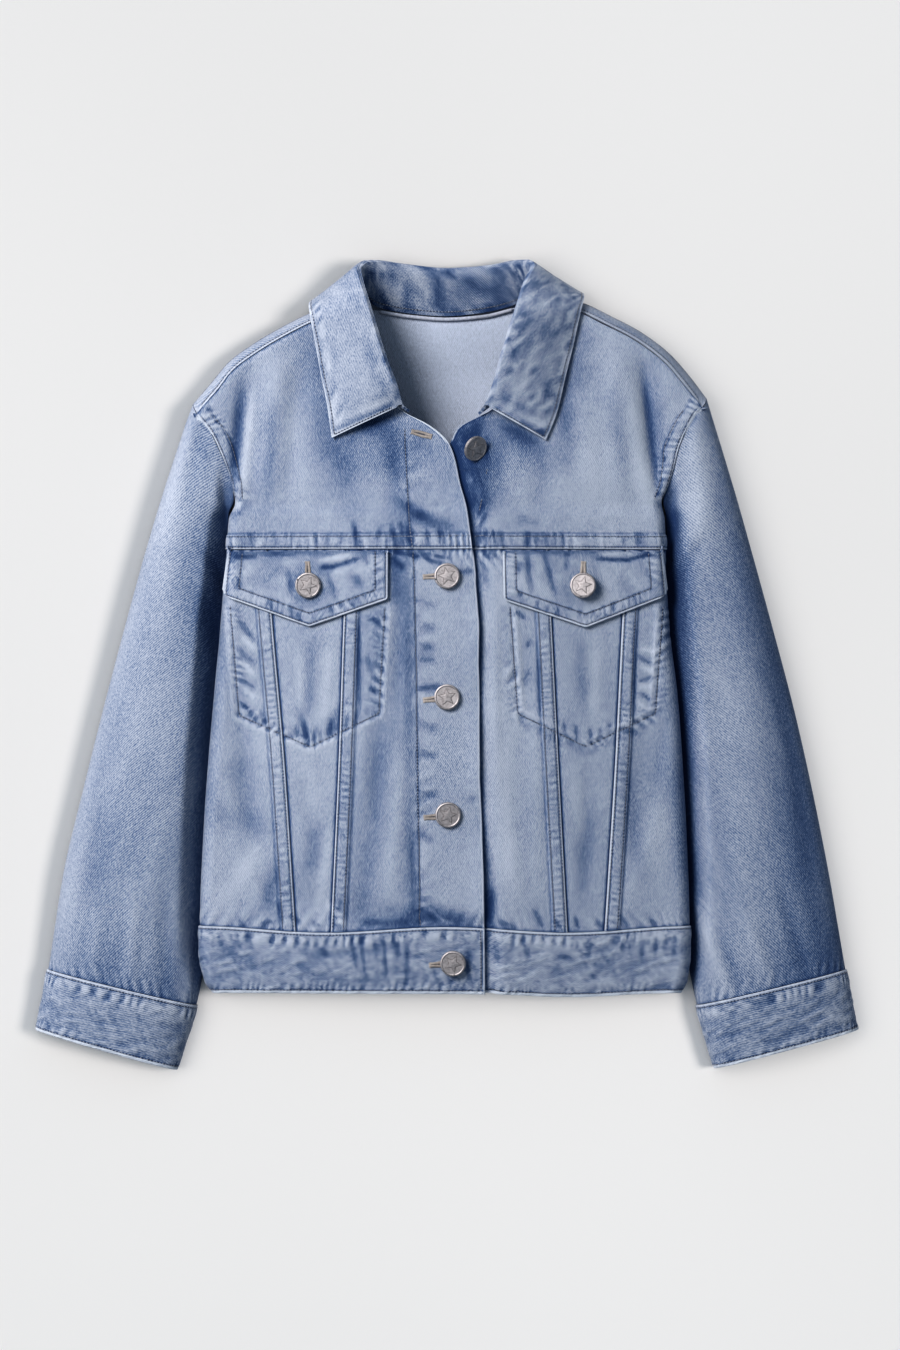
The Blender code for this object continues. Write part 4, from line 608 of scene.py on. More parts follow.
def sleeve_surface(side, theta, v):
    """A sleeve's outer surface: theta runs from the outer edge over the top to the inner edge and on
    underneath, and v from the armhole to the cuff's mouth."""
    table = SLEEVES[side]
    station = np.arange(len(table), dtype=float)
    at = {name: curve(station, [getattr(row, name) for row in table])(v) for name in Sleeve._fields}
    cosine, upper = np.cos(theta), np.sin(theta) >= 0
    s = (1 - cosine) / 2
    first = table[0]
    ring_y = first.outer_y + (first.inner_y - first.outer_y) * s
    ring_end = front_end(side, ring_y) * SIDES[side]
    arm_up, arm_down = front(ring_end, ring_y), back(ring_end, ring_y)
    x = at["outer_x"] + (at["inner_x"] - at["outer_x"]) * s
    y = at["outer_y"] + (at["inner_y"] - at["outer_y"]) * s
    chord = first.outer_x + (first.inner_x - first.outer_x) * s
    clear = SIDES[side] * ARMPIT_EASE * ease((s - 0.8) / 0.2)
    x = x + at["armhole"] * (arm_up[..., 0] - chord + clear)
    edge = at["outer_z"] + (at["inner_z"] - at["outer_z"]) * s
    rise = (at["height"] - edge) * (1 - np.abs(cosine) ** 2.3) ** (1 / 2.3)
    top = edge + rise
    bottom = edge * (1 - (1 - np.abs(cosine) ** 4.5) ** (1 / 4.5))
    limit = body_clearance(side, x, y)
    soft = 1.6
    low = np.minimum(top, limit) - soft * np.log1p(np.exp(-np.abs(top - limit) / soft))
    free = np.maximum(low, edge + np.minimum(rise, 0.4))
    bound = ease((s - 0.35) / 0.3) * ease((1.2 - at["armhole"]) / 0.6)
    z = np.where(upper, top + (free - top) * bound, bottom)
    middle, half = (arm_up[..., 2] + arm_down[..., 2]) / 2, (arm_up[..., 2] - arm_down[..., 2]) / 2
    half = half * np.where(cosine < 0, (1 - cosine**4) ** 0.25, 1)
    arm_z = middle + half * np.where(upper, 1, -1)
    z = z + at["armhole"] ** 3 * (arm_z - z)
    return np.stack([x, y, z], -1)


def body_clearance(side, x, y):
    """The most height that a sleeve may have beneath and beside the body's side fold."""
    y = np.minimum(y, ARMPIT)
    width, roll, lift = body[side](y), body["roll"](y), body["lift"](y)
    out = np.abs(x) - width
    under = lift * ease((out + roll + BACK_RAMP) / BACK_RAMP)
    band = BAND_RISE * ease((WAIST_SEAM + 14 - y) / 12)
    near = np.clip(out + 0.75 * roll, 0, None)
    return under - SLEEVE_CLEARANCE - band + 0.7 * near + 0.05 * np.clip(out, 0, None) ** 2


def unit(v):
    return v / np.linalg.norm(v, axis=-1, keepdims=True)


def collar_surface(u, w):
    """The collar's middle surface: u runs round the neck, w from the seam over the roll to the edge."""
    table = np.array(COLLARS["right"] + COLLARS["left"][-2::-1], float)
    station = np.arange(len(table), dtype=float)
    values = [curve(station, table[:, k])(u) for k in range(table.shape[1])]
    neck, roll, free = (np.stack(values[k : k + 3], -1) for k in (0, 3, 6))
    bulge = values[9][..., None] * np.array([0, 0, 1.0])
    rise, drop = unit(roll - neck), unit((roll + free) / 2 + bulge - roll)
    out, side = unit(rise - drop), unit(rise + drop)
    stand_top = roll - COLLAR_ROLL * (out + side)
    fall_top = roll - COLLAR_ROLL * (out - side)
    control = (fall_top + free) / 2 + bulge
    w = w[..., None]
    t = np.clip(w / 0.4, 0, 1)
    stand = neck + (stand_top - neck) * t
    angle = np.clip((w - 0.4) / 0.2, 0, 1) * math.pi
    bend = roll - COLLAR_ROLL * (out * (1 - np.sin(angle)) + side * np.cos(angle))
    f = np.clip((w - 0.6) / 0.4, 0, 1)
    fall = (1 - f) ** 2 * fall_top + 2 * f * (1 - f) * control + f**2 * free
    return np.where(w < 0.4, stand, np.where(w < 0.6, bend, fall))


def framed(surface, u, v, step, flip=1):
    """Points of a surface and its unit normals, which point out of the garment."""
    u, v = np.broadcast_arrays(np.asarray(u, float), np.asarray(v, float))
    across = surface(u + step, v) - surface(u - step, v)
    along = surface(u, v + step) - surface(u, v - step)
    return surface(u, v), unit(np.cross(across, along) * flip)


# --- marks of wear and painted shade


def lattice(ix, iy, seed):
    """Repeatable numbers from -1 to 1 at whole places."""
    mixed = (ix * 374761393 + iy * 668265263 + seed * 974711) & 0x7FFFFFFF
    mixed = ((mixed ^ (mixed >> 13)) * 1274126177) & 0x7FFFFFFF
    return ((mixed ^ (mixed >> 16)) & 0xFFFF) / 32767.5 - 1


def drift(x, y, seed):
    """A smooth wandering height from -1 to 1, whose hills are about one unit wide."""
    x, y = np.broadcast_arrays(np.asarray(x, float), np.asarray(y, float))
    ix, iy = np.floor(x).astype(np.int64), np.floor(y).astype(np.int64)
    fx, fy = ease(x - ix), ease(y - iy)
    low = lattice(ix, iy, seed) * (1 - fx) + lattice(ix + 1, iy, seed) * fx
    high = lattice(ix, iy + 1, seed) * (1 - fx) + lattice(ix + 1, iy + 1, seed) * fx
    return low * (1 - fy) + high * fy


def blotches(x, y, across, along, turn, seed):
    """Uneven patches, longer along than across, turned by turn degrees."""
    c, s = math.cos(math.radians(turn)), math.sin(math.radians(turn))
    p, q = (x * c + y * s) / across, (y * c - x * s) / along
    return 0.65 * drift(p, q, seed) + 0.35 * drift(2.1 * p + 7, 2.1 * q, seed + 5)


def from_line(line, x, y):
    """Distance from a line of points, above zero on its left, and how far along it."""
    x, y = np.broadcast_arrays(np.asarray(x, float), np.asarray(y, float))
    best, along, start = np.full(x.shape, 1e9), np.zeros(x.shape), 0.0
    for (x0, y0), (x1, y1) in zip(line, line[1:]):
        dx, dy = x1 - x0, y1 - y0
        length = math.hypot(dx, dy)
        t = np.clip(((x - x0) * dx + (y - y0) * dy) / length**2, 0, 1)
        away = np.hypot(x - x0 - t * dx, y - y0 - t * dy)
        away = away * np.where(dx * (y - y0) - dy * (x - x0) < 0, -1, 1)
        near = np.abs(away) < np.abs(best)
        best, along = np.where(near, away, best), np.where(near, start + t * length, along)
        start += length
    return best, along


def roping(away, along, left, right, pitch, lean, seed):
    """Ripples that a shrunk seam leaves in the cloth beside it, from -1 to 1; left and right are reaches."""
    reach = np.where(away > 0, left, right)
    fade = ease(1.3 - np.abs(away) / reach)
    phase = (along + lean * away) / pitch + 1.2 * drift(along / (2.7 * pitch), 0 * along, seed + 3)
    much = 0.55 + 0.8 * drift(along / (1.8 * pitch), away / reach, seed)
    wave = np.cos(2 * math.pi * phase) * much + 0.35 * drift(2.6 * along / pitch, 3 * away / reach, seed + 1)
    return np.clip(wave, -1, 1) * fade


Ripple = namedtuple("Ripple", "away along left right pitch lean seed much")


def front_marks(side, x, y):
    """Ripples, wear and painted shade of a front, from above: height in pucker heights, wear with painted shade
    from -1 to 1.
    """
    sign, seed = SIDES[side], 0 if side == "right" else 7
    height = np.zeros(np.broadcast(x, y).shape)
    wear = 0.08 * blotches(x, y, 16, 34, 12 * sign, 11) + 0.09 * blotches(x, y, 5, 9, -30, 12)
    yoke_fold, waist = y - YOKE_SEAM, y - waist_line(x)
    near_placket = 1 + 0.5 * bell((x + 26) / 10)
    ripples = [
        Ripple(np.where(yoke_fold > 0, yoke_fold - 5.2, -yoke_fold), x, 7, 9, 4.4, 0.12, 21,
               0.8 * near_placket),
        Ripple(np.where(yoke_fold < 0, yoke_fold, -9), x, 1, 16, 7.5, 0.8, 23, 0.5 * (yoke_fold < 0)),
        Ripple(waist, x, 15, 4, 7.4, 0.5 * sign, 31, 0.4),
    ]
    away, along = from_line(POCKET_ROWS[side], x, y)
    away = away * sign
    shown = ease((42 - y) / 6)
    ripples.append(Ripple(away, along, 3.6, 8.5, 6.6, 0.5, 41, 0.85 * shown))
    ridge = shown * bell((away - 3.4) / 1.5)
    height = height + 0.9 * ridge - 0.5 * shown * bell(away)
    wear = wear + 0.22 * ridge - 0.4 * shown * bell((away - 0.2) / 0.8) - 0.18 * shown * bell((away + 4) / 3)
    if side == "right":
        away, along = from_line(PLACKET_ROW, x, y)
        ripples.append(Ripple(away, along, 12, 5, 12, 0.5, 51, 0.35))
        # Painted shade in a band beside the placket's row, and a darker groove at the row.
        wear = wear - 0.16 * bell((away + 6) / 5) - 0.4 * bell(away / 0.9)
    else:
        wear = wear + 0.28 * bell((x - 38) / 10) * ease((70 - y) / 30) * ease((y + 160) / 30)
        height = height - 0.3 * bell(away / 1.2)
    for r in ripples:
        ripple = roping(r.away, r.along, r.left, r.right, r.pitch, r.lean, r.seed + seed) * r.much
        height = height + ripple
        wear = wear + 0.5 * ripple
    streaks = fold_height(STREAKS_AND_SHADES, x, y)
    # Creases and folds tint the cloth too: painted shade in their troughs, painted light on their ridges.
    wear = wear + streaks + 0.32 * fold_height(CREASES, x, y) + 0.08 * fold_height(FOLDS, x, y)
    return height + streaks, wear


def armhole_line(side):
    rows = np.linspace(ARMPIT, SLEEVES[side][0].outer_y - 4, 14)
    return list(zip(SIDES[side] * body[side](rows), rows))


def yoke_marks(side, x, y):
    """The yokes' extra marks: ripples along the armhole, painted shade under the collar and on the fronts' tops
    below the neck.
    """
    sign = SIDES[side]
    away, along = from_line(armhole_line(side), x, y)
    ripple = roping(np.abs(away) - 4.5, along, 8, 6, 5.5, 0.3, 61 + sign) * 0.8
    neck = from_line([(sign * 24, 146), (sign * 72, 142), (sign * 86, 215)], x, y)[0]
    # Painted shade: hidden darkens the yoke under and beside the collar's leaves, blotched; placket_shade
    # darkens the fronts' tops near the middle.
    hidden = bell(np.clip(np.abs(neck) - 3, 0, None) / 14) * (0.85 + 0.3 * blotches(x, y, 10, 18, 20, 63))
    placket_shade = ease((y - 96) / 30) * ease((30 - np.abs(x)) / 10)
    return ripple, 0.05 * sign + 0.5 * ripple - 0.34 * hidden - (0.22 + 0.12 * sign) * placket_shade


def fold_edge(d):
    """The round of a folded edge over its first millimetre, from 0 to 1."""
    return np.sqrt(np.clip(1 - (1 - np.clip(d / 0.9, 0, 1)) ** 2, 0, 1))


def seam_profile(d):
    """The rise of a folded and twice stitched seam, d from its fold."""
    step = 1 - ease((d - SEAM_WIDTH + 0.5) / 1.1)
    rows = bell((d - ROW_NEAR) / 0.5) + bell((d - ROW_FAR) / 0.5)
    between = 0.12 * np.sin(math.pi * np.clip((d - ROW_NEAR) / (ROW_FAR - ROW_NEAR), 0, 1))
    return SEAM_RISE * (0.25 + 0.75 * fold_edge(d)) * step + (between - 0.30 * rows) * step


def seam_wear_and_shade(d):
    """Pale at the fold, unfaded in the stitched grooves, with painted shade beside the far step."""
    pale = 0.62 * (1 - ease((d - 0.7) / 0.8))
    rows = 0.75 * (bell((d - ROW_NEAR - 0.1) / 0.5) + bell((d - ROW_FAR) / 0.5))
    return pale - rows + 0.25 * bell((d - SEAM_WIDTH + 0.4) / 0.5) - 0.55 * bell((d - SEAM_WIDTH - 0.6) / 0.9)


def roped(d, y, seed, relief, wear):
    """Relief and wear with the small cross ripples between the two rows of a lapped seam."""
    ropes = roping(d - 5.2, y, 4.0, 4.0, 4.8, 0.2, seed)
    return relief + 0.3 * pucker() * ropes, wear + 0.3 * ropes


# --- materials


def tinted(color, much):
    return tuple(min(1, much * v) for v in color)


def wire(tree, node, inputs):
    """Puts values, or other nodes' outputs, in a node's inputs."""
    for key, value in dict(inputs).items():
        if isinstance(value, bpy.types.NodeSocket):
            tree.links.new(value, node.inputs[key])
        else:
            node.inputs[key].default_value = value


def material(name, look, *details):
    """The material of that name, made once; look gives what goes in its shader's inputs."""
    made = bpy.data.materials.get(name)
    if made is None:
        made = bpy.data.materials.new(name)
        made.use_nodes = True
        tree = made.node_tree
        wire(tree, tree.nodes["Principled BSDF"], look(tree, *details))
    return made


def add(tree, kind, inputs=(), output=0, **settings):
    """An output of a new node with its settings, and with its inputs filled."""
    node = tree.nodes.new(kind)
    for name, value in settings.items():
        setattr(node, name, value)
    wire(tree, node, inputs)
    return node.outputs[output]


def scaled(tree, vector, scale, turn=0.0):
    return add(tree, "ShaderNodeMapping", {"Vector": vector, "Scale": scale, "Rotation": (0, 0, turn)})


def combine(tree, first, *terms):
    """first + share * (value - 0.5) for every (share, value) pair."""
    total = first
    for share, value in terms:
        centred = add(tree, "ShaderNodeMath", {0: value, 1: 0.5}, operation="SUBTRACT")
        total = add(tree, "ShaderNodeMath", {0: centred, 1: share, 2: total}, operation="MULTIPLY_ADD")
    return total


def ramp(tree, value, stops):
    """Colours along a value; the stops are the first, the last, and then those between."""
    color = add(tree, "ShaderNodeValToRGB", {0: value})
    band = color.node.color_ramp
    band.interpolation = "LINEAR"
    for place, _ in stops[2:]:
        band.elements.new(place)
    for element, (place, tone) in zip(band.elements, sorted(stops)):
        element.position = place
        element.color = (*tone, 1)
    return color


def object_noise(tree, scale, detail):
    """Soft noise in the piece's own coordinates."""
    place = add(tree, "ShaderNodeTexCoord", output="Object")
    return add(tree, "ShaderNodeTexNoise", {"Vector": place, "Scale": scale, "Detail": detail})


def cloth_noise(tree, vector, size, stretch, detail, turn=0.0):
    """Soft noise on the cloth's map, whose patches are about size wide."""
    turned = scaled(tree, vector, tuple(k / size for k in stretch), turn)
    return add(tree, "ShaderNodeTexNoise", {"Vector": turned, "Scale": 1.0, "Detail": detail},
               noise_dimensions="2D")


def denim(tree, stops, lean, contrast, roughness):
    """Washed twill: its tone follows the wear attribute (wear with painted shade and light), the weave, the
    yarn's slubs and the grain.
    """
    cloth = add(tree, "ShaderNodeUVMap", uv_map="cloth")
    wear = add(tree, "ShaderNodeAttribute", output="Fac", attribute_name="wear")
    wave = {"Vector": scaled(tree, cloth, (1, 1, 1), math.radians(30 * lean)), "Scale": 0.314 / sizes().weave,
            "Distortion": 2.2, "Detail": 2.0, "Detail Scale": 1.6}
    twill = add(tree, "ShaderNodeTexWave", wave, output="Fac", wave_type="BANDS", bands_direction="X")
    slub = cloth_noise(tree, cloth, 0.0010, (1, 0.2, 1), 2.0)
    fill = cloth_noise(tree, cloth, 0.0009, (0.35, 1, 1), 1.0)
    grain = cloth_noise(tree, cloth, 0.0009, (1, 0.5, 1), 2.0, -0.55 * lean)
    speckle = cloth_noise(tree, cloth, 0.0035, (1, 0.8, 1), 3.0)
    cloud = cloth_noise(tree, cloth, 0.045, (1, 0.6, 1), 3.0)
    tone = add(tree, "ShaderNodeMath", {0: wear, 1: 0.42, 2: 0.5}, operation="MULTIPLY_ADD")
    tone = combine(tree, tone, (0.24 * contrast, twill), (0.20 * contrast, slub), (0.12 * contrast, fill),
                   (0.50 * contrast, grain), (0.07, speckle), (0.16, cloud))
    height = combine(tree, 0.5, (1.0, twill), (0.5, slub), (1.0, grain), (0.3, fill))
    bump = add(tree, "ShaderNodeBump", {"Height": height, "Strength": 0.45, "Distance": 0.00035})
    return {"Base Color": ramp(tree, tone, stops), "Normal": bump, "Roughness": roughness,
            "Specular IOR Level": 0.22, "Sheen Weight": 0.12, "Sheen Roughness": 0.5}


def face_cloth():
    c = colors()
    stops = [(0.0, c.deep), (1.0, c.worn), (0.26, c.dark), (0.5, c.middle), (0.72, c.light)]
    return material("denim_face", denim, stops, 1, 1.0, 0.88)


def reverse_cloth():
    tone = colors().reverse
    stops = [(0.0, tinted(tone, 0.62)), (1.0, tinted(tone, 1.35)), (0.5, tone)]
    return material("denim_reverse", denim, stops, -1, 1.7, 0.92)


def spun(tree, color):
    """Thread, tape and pocketing, mottled and aged."""
    tone = combine(tree, 0.5, (0.9, object_noise(tree, 700.0, 2.0)), (0.9, object_noise(tree, 40.0, 2.0)))
    stops = [(0.0, tinted(color, 0.5)), (1.0, tinted(color, 1.7)), (0.5, color)]
    return {"Base Color": ramp(tree, tone, stops), "Roughness": 0.7, "Sheen Weight": 0.2}


def pewter(tree, metal):
    """Worn grey metal, scuffed and clouded."""
    scuff = object_noise(tree, 900.0, 5.0)
    tone = combine(tree, 0.5, (1.1, scuff), (0.6, object_noise(tree, 260.0, 3.0)))
    stops = [(0.0, tinted(metal, 0.45)), (1.0, tinted(metal, 1.5)), (0.5, metal)]
    bump = add(tree, "ShaderNodeBump", {"Height": scuff, "Strength": 0.25, "Distance": 0.00005})
    return {"Base Color": ramp(tree, tone, stops), "Roughness": combine(tree, 0.60, (0.2, scuff)),
            "Normal": bump, "Metallic": 1.0}


def grime(tree, metal):
    """Dark grime in the hollows of a button's face."""
    stops = [(0.35, tinted(metal, 0.32)), (0.65, tinted(metal, 0.85))]
    return {"Base Color": ramp(tree, object_noise(tree, 1200.0, 3.0), stops), "Roughness": 0.75,
            "Metallic": 0.6}


def paper(tree, color):
    """The pale surface, very slightly clouded."""
    stops = [(0.3, tinted(color, 0.95)), (0.7, color)]
    return {"Base Color": ramp(tree, object_noise(tree, 1.3, 1.0), stops), "Roughness": 0.9,
            "Specular IOR Level": 0.1}


# --- cloth


def quads(rows, columns, closed):
    """Corner indices of a grid's faces: row and column of each corner, the column may be one past the end."""
    i, j = np.meshgrid(np.arange(rows - 1), np.arange(columns if closed else columns - 1), indexing="ij")
    i, j = i.ravel(), j.ravel()
    return np.stack([i, i, i + 1, i + 1], 1), np.stack([j, j + 1, j + 1, j], 1)


def thinned(count, closed=False):
    """Every third index of a grid's side with its last one; a closed side ends one past its last."""
    kept = list(range(0, count - 1, INNER_STEP))
    if not closed and count - 1 - kept[-1] < INNER_STEP / 2 and len(kept) > 1:
        kept.pop()
    return np.array(kept + [count if closed else count - 1])


def borders(rows, columns, closed):
    """The grid's border lines that the two skins are joined along: rows and columns, in order."""
    if closed:
        return [(0 * columns, columns[::-1]), (0 * columns + rows[-1], columns)]
    return [(0 * columns, columns[::-1]), (rows[::-1], 0 * rows + columns[-1]),
            (0 * columns + rows[-1], columns), (rows, 0 * rows)]


def lowest_near(heights, reach):
    """The least height within reach rows and columns, so that a coarser skin stays under a finer one."""
    for axis in (0, 1):
        ends = [(reach, reach) if k == axis else (0, 0) for k in (0, 1)]
        wide, count = np.pad(heights, ends, mode="edge"), heights.shape[axis]
        heights = np.min([np.take(wide, range(k, k + count), axis) for k in range(2 * reach + 1)], axis=0)
    return heights


def mesh_piece(name, verts, faces, *looks):
    """A linked piece with its mesh in metres and its materials."""
    mesh = bpy.data.meshes.new(name)
    mesh.from_pydata(verts.tolist(), [], faces)
    for look in looks:
        mesh.materials.append(look)
    piece = bpy.data.objects.new(name, mesh)
    bpy.context.scene.collection.objects.link(piece)
    return piece


def attach(piece, slot, *nodes):
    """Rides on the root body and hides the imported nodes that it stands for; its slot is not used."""
    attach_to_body(piece, "root")
    if nodes:
        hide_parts(*nodes)


def cloth(node, rests_on, points, normals, outside, inside, wear, uv, held="laid", closed=False, lining=None,
          lined=True):
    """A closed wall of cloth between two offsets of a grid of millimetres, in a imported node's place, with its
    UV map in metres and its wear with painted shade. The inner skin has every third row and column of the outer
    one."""
    rows, columns = points.shape[:2]
    outside, inside, wear = (np.broadcast_to(np.asarray(h, float), (rows, columns))
                             for h in (outside, inside, wear))
    outer = points + normals * outside[..., None]
    inner = (points + normals * lowest_near(inside, INNER_STEP)[..., None]) if lining is None else lining
    kept_rows, kept_columns = thinned(rows), thinned(columns, closed)
    across = len(kept_columns) - (1 if closed else 0)
    kept = np.ix_(kept_rows, kept_columns[:across])
    inner, inner_wear_and_shade = inner[kept], wear[kept]
    count = rows * columns
    row, col = quads(rows, columns, closed)
    faces = (row * columns + col % columns).tolist()
    spots = [(row.ravel(), col.ravel())]
    low_row, low_col = (corner[:, ::-1] for corner in quads(len(kept_rows), across, closed))
    faces += (count + low_row * across + low_col % across).tolist()
    spots.append((kept_rows[low_row.ravel()], kept_columns[low_col.ravel()]))
    skins = [0] * len(row) + [1] * len(low_row)
    place = {(r, c): count + i * across + j % across
             for i, r in enumerate(kept_rows) for j, c in enumerate(kept_columns)}
    for r, c in borders(kept_rows, kept_columns, closed):
        for r0, c0, r1, c1 in zip(r, c, r[1:], c[1:]):
            n = max(abs(r1 - r0), abs(c1 - c0))
            path = [(r0 + (r1 - r0) * k // n, c0 + (c1 - c0) * k // n) for k in range(n + 1)]
            faces.append([i * columns + j % columns for i, j in path] + [place[r1, c1], place[r0, c0]])
            path += [(r1, c1), (r0, c0)]
            spots.append(tuple(np.array(path).T))
            skins.append(0)
    where = tuple(np.concatenate([spot[k] for spot in spots]) for k in (0, 1))
    verts = np.concatenate([outer.reshape(-1, 3), inner.reshape(-1, 3)]) * MM
    piece = mesh_piece("cloth_" + node, verts, faces, face_cloth(), reverse_cloth())
    mesh = piece.data
    layer = mesh.uv_layers.new(name="cloth")
    layer.data.foreach_set("uv", (uv[where] * MM).astype(np.float32).ravel())
    worn = mesh.attributes.new("wear", "FLOAT", "POINT")
    worn.data.foreach_set("value", np.concatenate([wear.ravel(), inner_wear_and_shade.ravel()]).astype(np.float32))
    mesh.polygons.foreach_set("material_index", skins if lined else [0] * len(skins))
    shape = bmesh.new()
    shape.from_mesh(mesh)
    if shape.calc_volume(signed=True) < 0:
        bmesh.ops.reverse_faces(shape, faces=shape.faces[:])
        shape.to_mesh(mesh)
    shape.free()
    mesh.shade_smooth()
    mesh.set_sharp_from_angle(angle=math.radians(48))
    attach(piece, "denim", node)


def plain_uv(u, v, closed=None):
    """UV from distances across and along the cloth; closed adds the column that closes a ring."""
    u, v = np.broadcast_arrays(np.asarray(u, float), np.asarray(v, float))
    if closed is not None:
        u, v = np.concatenate([u, closed], 1), np.concatenate([v, v[:, :1]], 1)
    return np.stack([u, v], -1)


def spaced(lines, cells):
    """Grid columns between boundary lines, each an array by row, about a cell apart in each stretch."""
    made = []
    for a, b, cell in zip(lines, lines[1:], cells):
        count = max(1, int(round(np.abs(b - a).max() / cell)))
        made += [a + (b - a) * k / count for k in range(count)]
    return np.stack([*made, lines[-1]], 1)


def cell():
    return sizes().cell / MM


def pucker():
    return sizes().pucker / MM


SEAM_STEPS = [0, 0.3, 0.8, 1.2, 1.6, 2.0, 2.6, 3.6, 4.9, 6.2, 7.5, 8.2, 8.7, 9.2, 9.7, 10.2, 10.9, 12.0]
EDGE_STEPS = [0, 0.3, 0.8, 1.2, 1.6, 2.0, 2.4, 3.0, 4.0]


def stepped(line, steps, way):
    """Lines beside a line, at the given steps."""
    return [line + way * step for step in steps]


def panel_heights(a, rows):
    share = ((rows - rows[0]) / (rows[-1] - rows[0]))[:, None]
    low = waist_line(a) + GAP / 2
    return low + (YOKE_SEAM - GAP / 2 - low) * share


def panel_rows():
    low, high = WAIST_SEAM - WAIST_SAG / 2, YOKE_SEAM
    steps = np.array([0, 0.5, 1.2, 2.2])
    inside = np.linspace(low + 3.4, high - 3.4, int((high - low - 6.8) / (0.85 * cell())))
    return np.concatenate([low + steps, inside, (high - steps)[::-1]])


def front_skin(side, a, y):
    """A front's points with its creases: points, normals, marks' height, and wear with painted shade."""
    points, normals = framed(front, a, y, 0.05)
    x = points[..., 0]
    height, wear = front_marks(side, x, y)
    return points, normals, pucker() * height + fold_height(CREASES, x, y), wear


def ends_painted_shade(a, y, much=0.7):
    """Painted shade along a panel's two ends, under its seams."""
    return -much * (bell((y - waist_line(a)) / 1.4) + bell((YOKE_SEAM - y) / 1.4))


def side_panel(side):
    sign, rows = SIDES[side], panel_rows()
    fold = np.abs(seam[side + "_outer"](rows)) + GAP / 2
    end = front_end(side, rows) - GAP / 2
    roll = end - body["roll"](rows) * np.radians(body["turn"](rows))
    strip = stepped(fold, SEAM_STEPS[::-1], 1)
    lines = [end, roll, *strip]
    a = spaced(lines, [1.6, cell()] + [9] * len(SEAM_STEPS))
    d = a - fold[:, None]
    y = panel_heights(a, rows)
    points, normals, relief, wear = front_skin(side, a * sign, y)
    # Painted shade darkens the cloth as it turns over the side roll; ends_painted_shade darkens both seams.
    wear = wear + seam_wear_and_shade(d) + ends_painted_shade(a, y) - 0.3 * ease((a - roll[:, None]) / 12)
    relief, wear = roped(d, y, 201 + sign, relief, wear)
    cloth("side_front_" + side, ["back_panel"], points, normals, relief + seam_profile(d), relief - CLOTH, wear,
          plain_uv(a * sign, y))


def middle_panel(side):
    sign, rows = SIDES[side], panel_rows()
    outer, inner = (np.abs(seam[side + part](rows)) for part in ("_outer", "_inner"))
    steps = [GAP / 2, 0.7, 1.3, 2.4]
    a = spaced([*stepped(outer, steps, -1), *stepped(inner, steps[::-1], 1)], [9, 9, 9, cell(), 9, 9, 9])
    y = panel_heights(a, rows)
    points, normals, relief, wear = front_skin(side, a * sign, y)
    # Painted shadow beside both lapped seams, with a shallow dip of the cloth there.
    seam_dip_and_shadow = bell((outer[:, None] - a) / 1.1) + bell((a - inner[:, None]) / 1.1)
    wear = wear - 1.4 * seam_dip_and_shadow + ends_painted_shade(a, y)
    cloth("middle_front_" + side, ["back_panel"], points, normals, relief - 0.35 * seam_dip_and_shadow, relief - CLOTH, wear,
          plain_uv(a * sign, y))


def lap(y, x, sink):
    """How far the under front lies below its own place, beneath the over front."""
    return -sink * (1 - ease((x - over_edge(y) - 1.5) / 12))


def placket_rise(a, y):
    return PLACKET_RISE * ease(1 - (over_edge(y) - a) / 26)


def edge_lift(a, y):
    """The over front's edge stands off a little between its buttons."""
    between = np.ones(np.broadcast(a, y).shape)
    for b in BUTTONS[:4]:
        between = between - bell((y - b.y) / 17)
    reach = ease(1 - (over_edge(y) - a) / 15) ** 2
    return 1.5 * np.clip(between, 0, 1) * reach * ease((y + 176) / 14) * ease((128 - y) / 30)


def edge_profile(d, row=ROW_NEAR, groove=0.2):
    """A folded edge rolls down over its last millimetre; a row of stitches sinks beside it."""
    return -0.6 * (1 - fold_edge(d)) - groove * bell((d - row) / 0.6)


def edge_wear(d, much=0.8, row=ROW_NEAR, groove=0.75):
    """Pale along the edge, unfaded in the groove of its row."""
    return 0.8 * much * (1 - ease((d - row + 0.7) / 0.7)) - groove * bell((d - row - 0.1) / 0.5)


def wavy_edge(y):
    """The over front's edge, which wanders a little between its buttons."""
    return over_edge(y) + 0.45 * drift(y / 13, 0 * y, 81) * ease((140 - y) / 20)


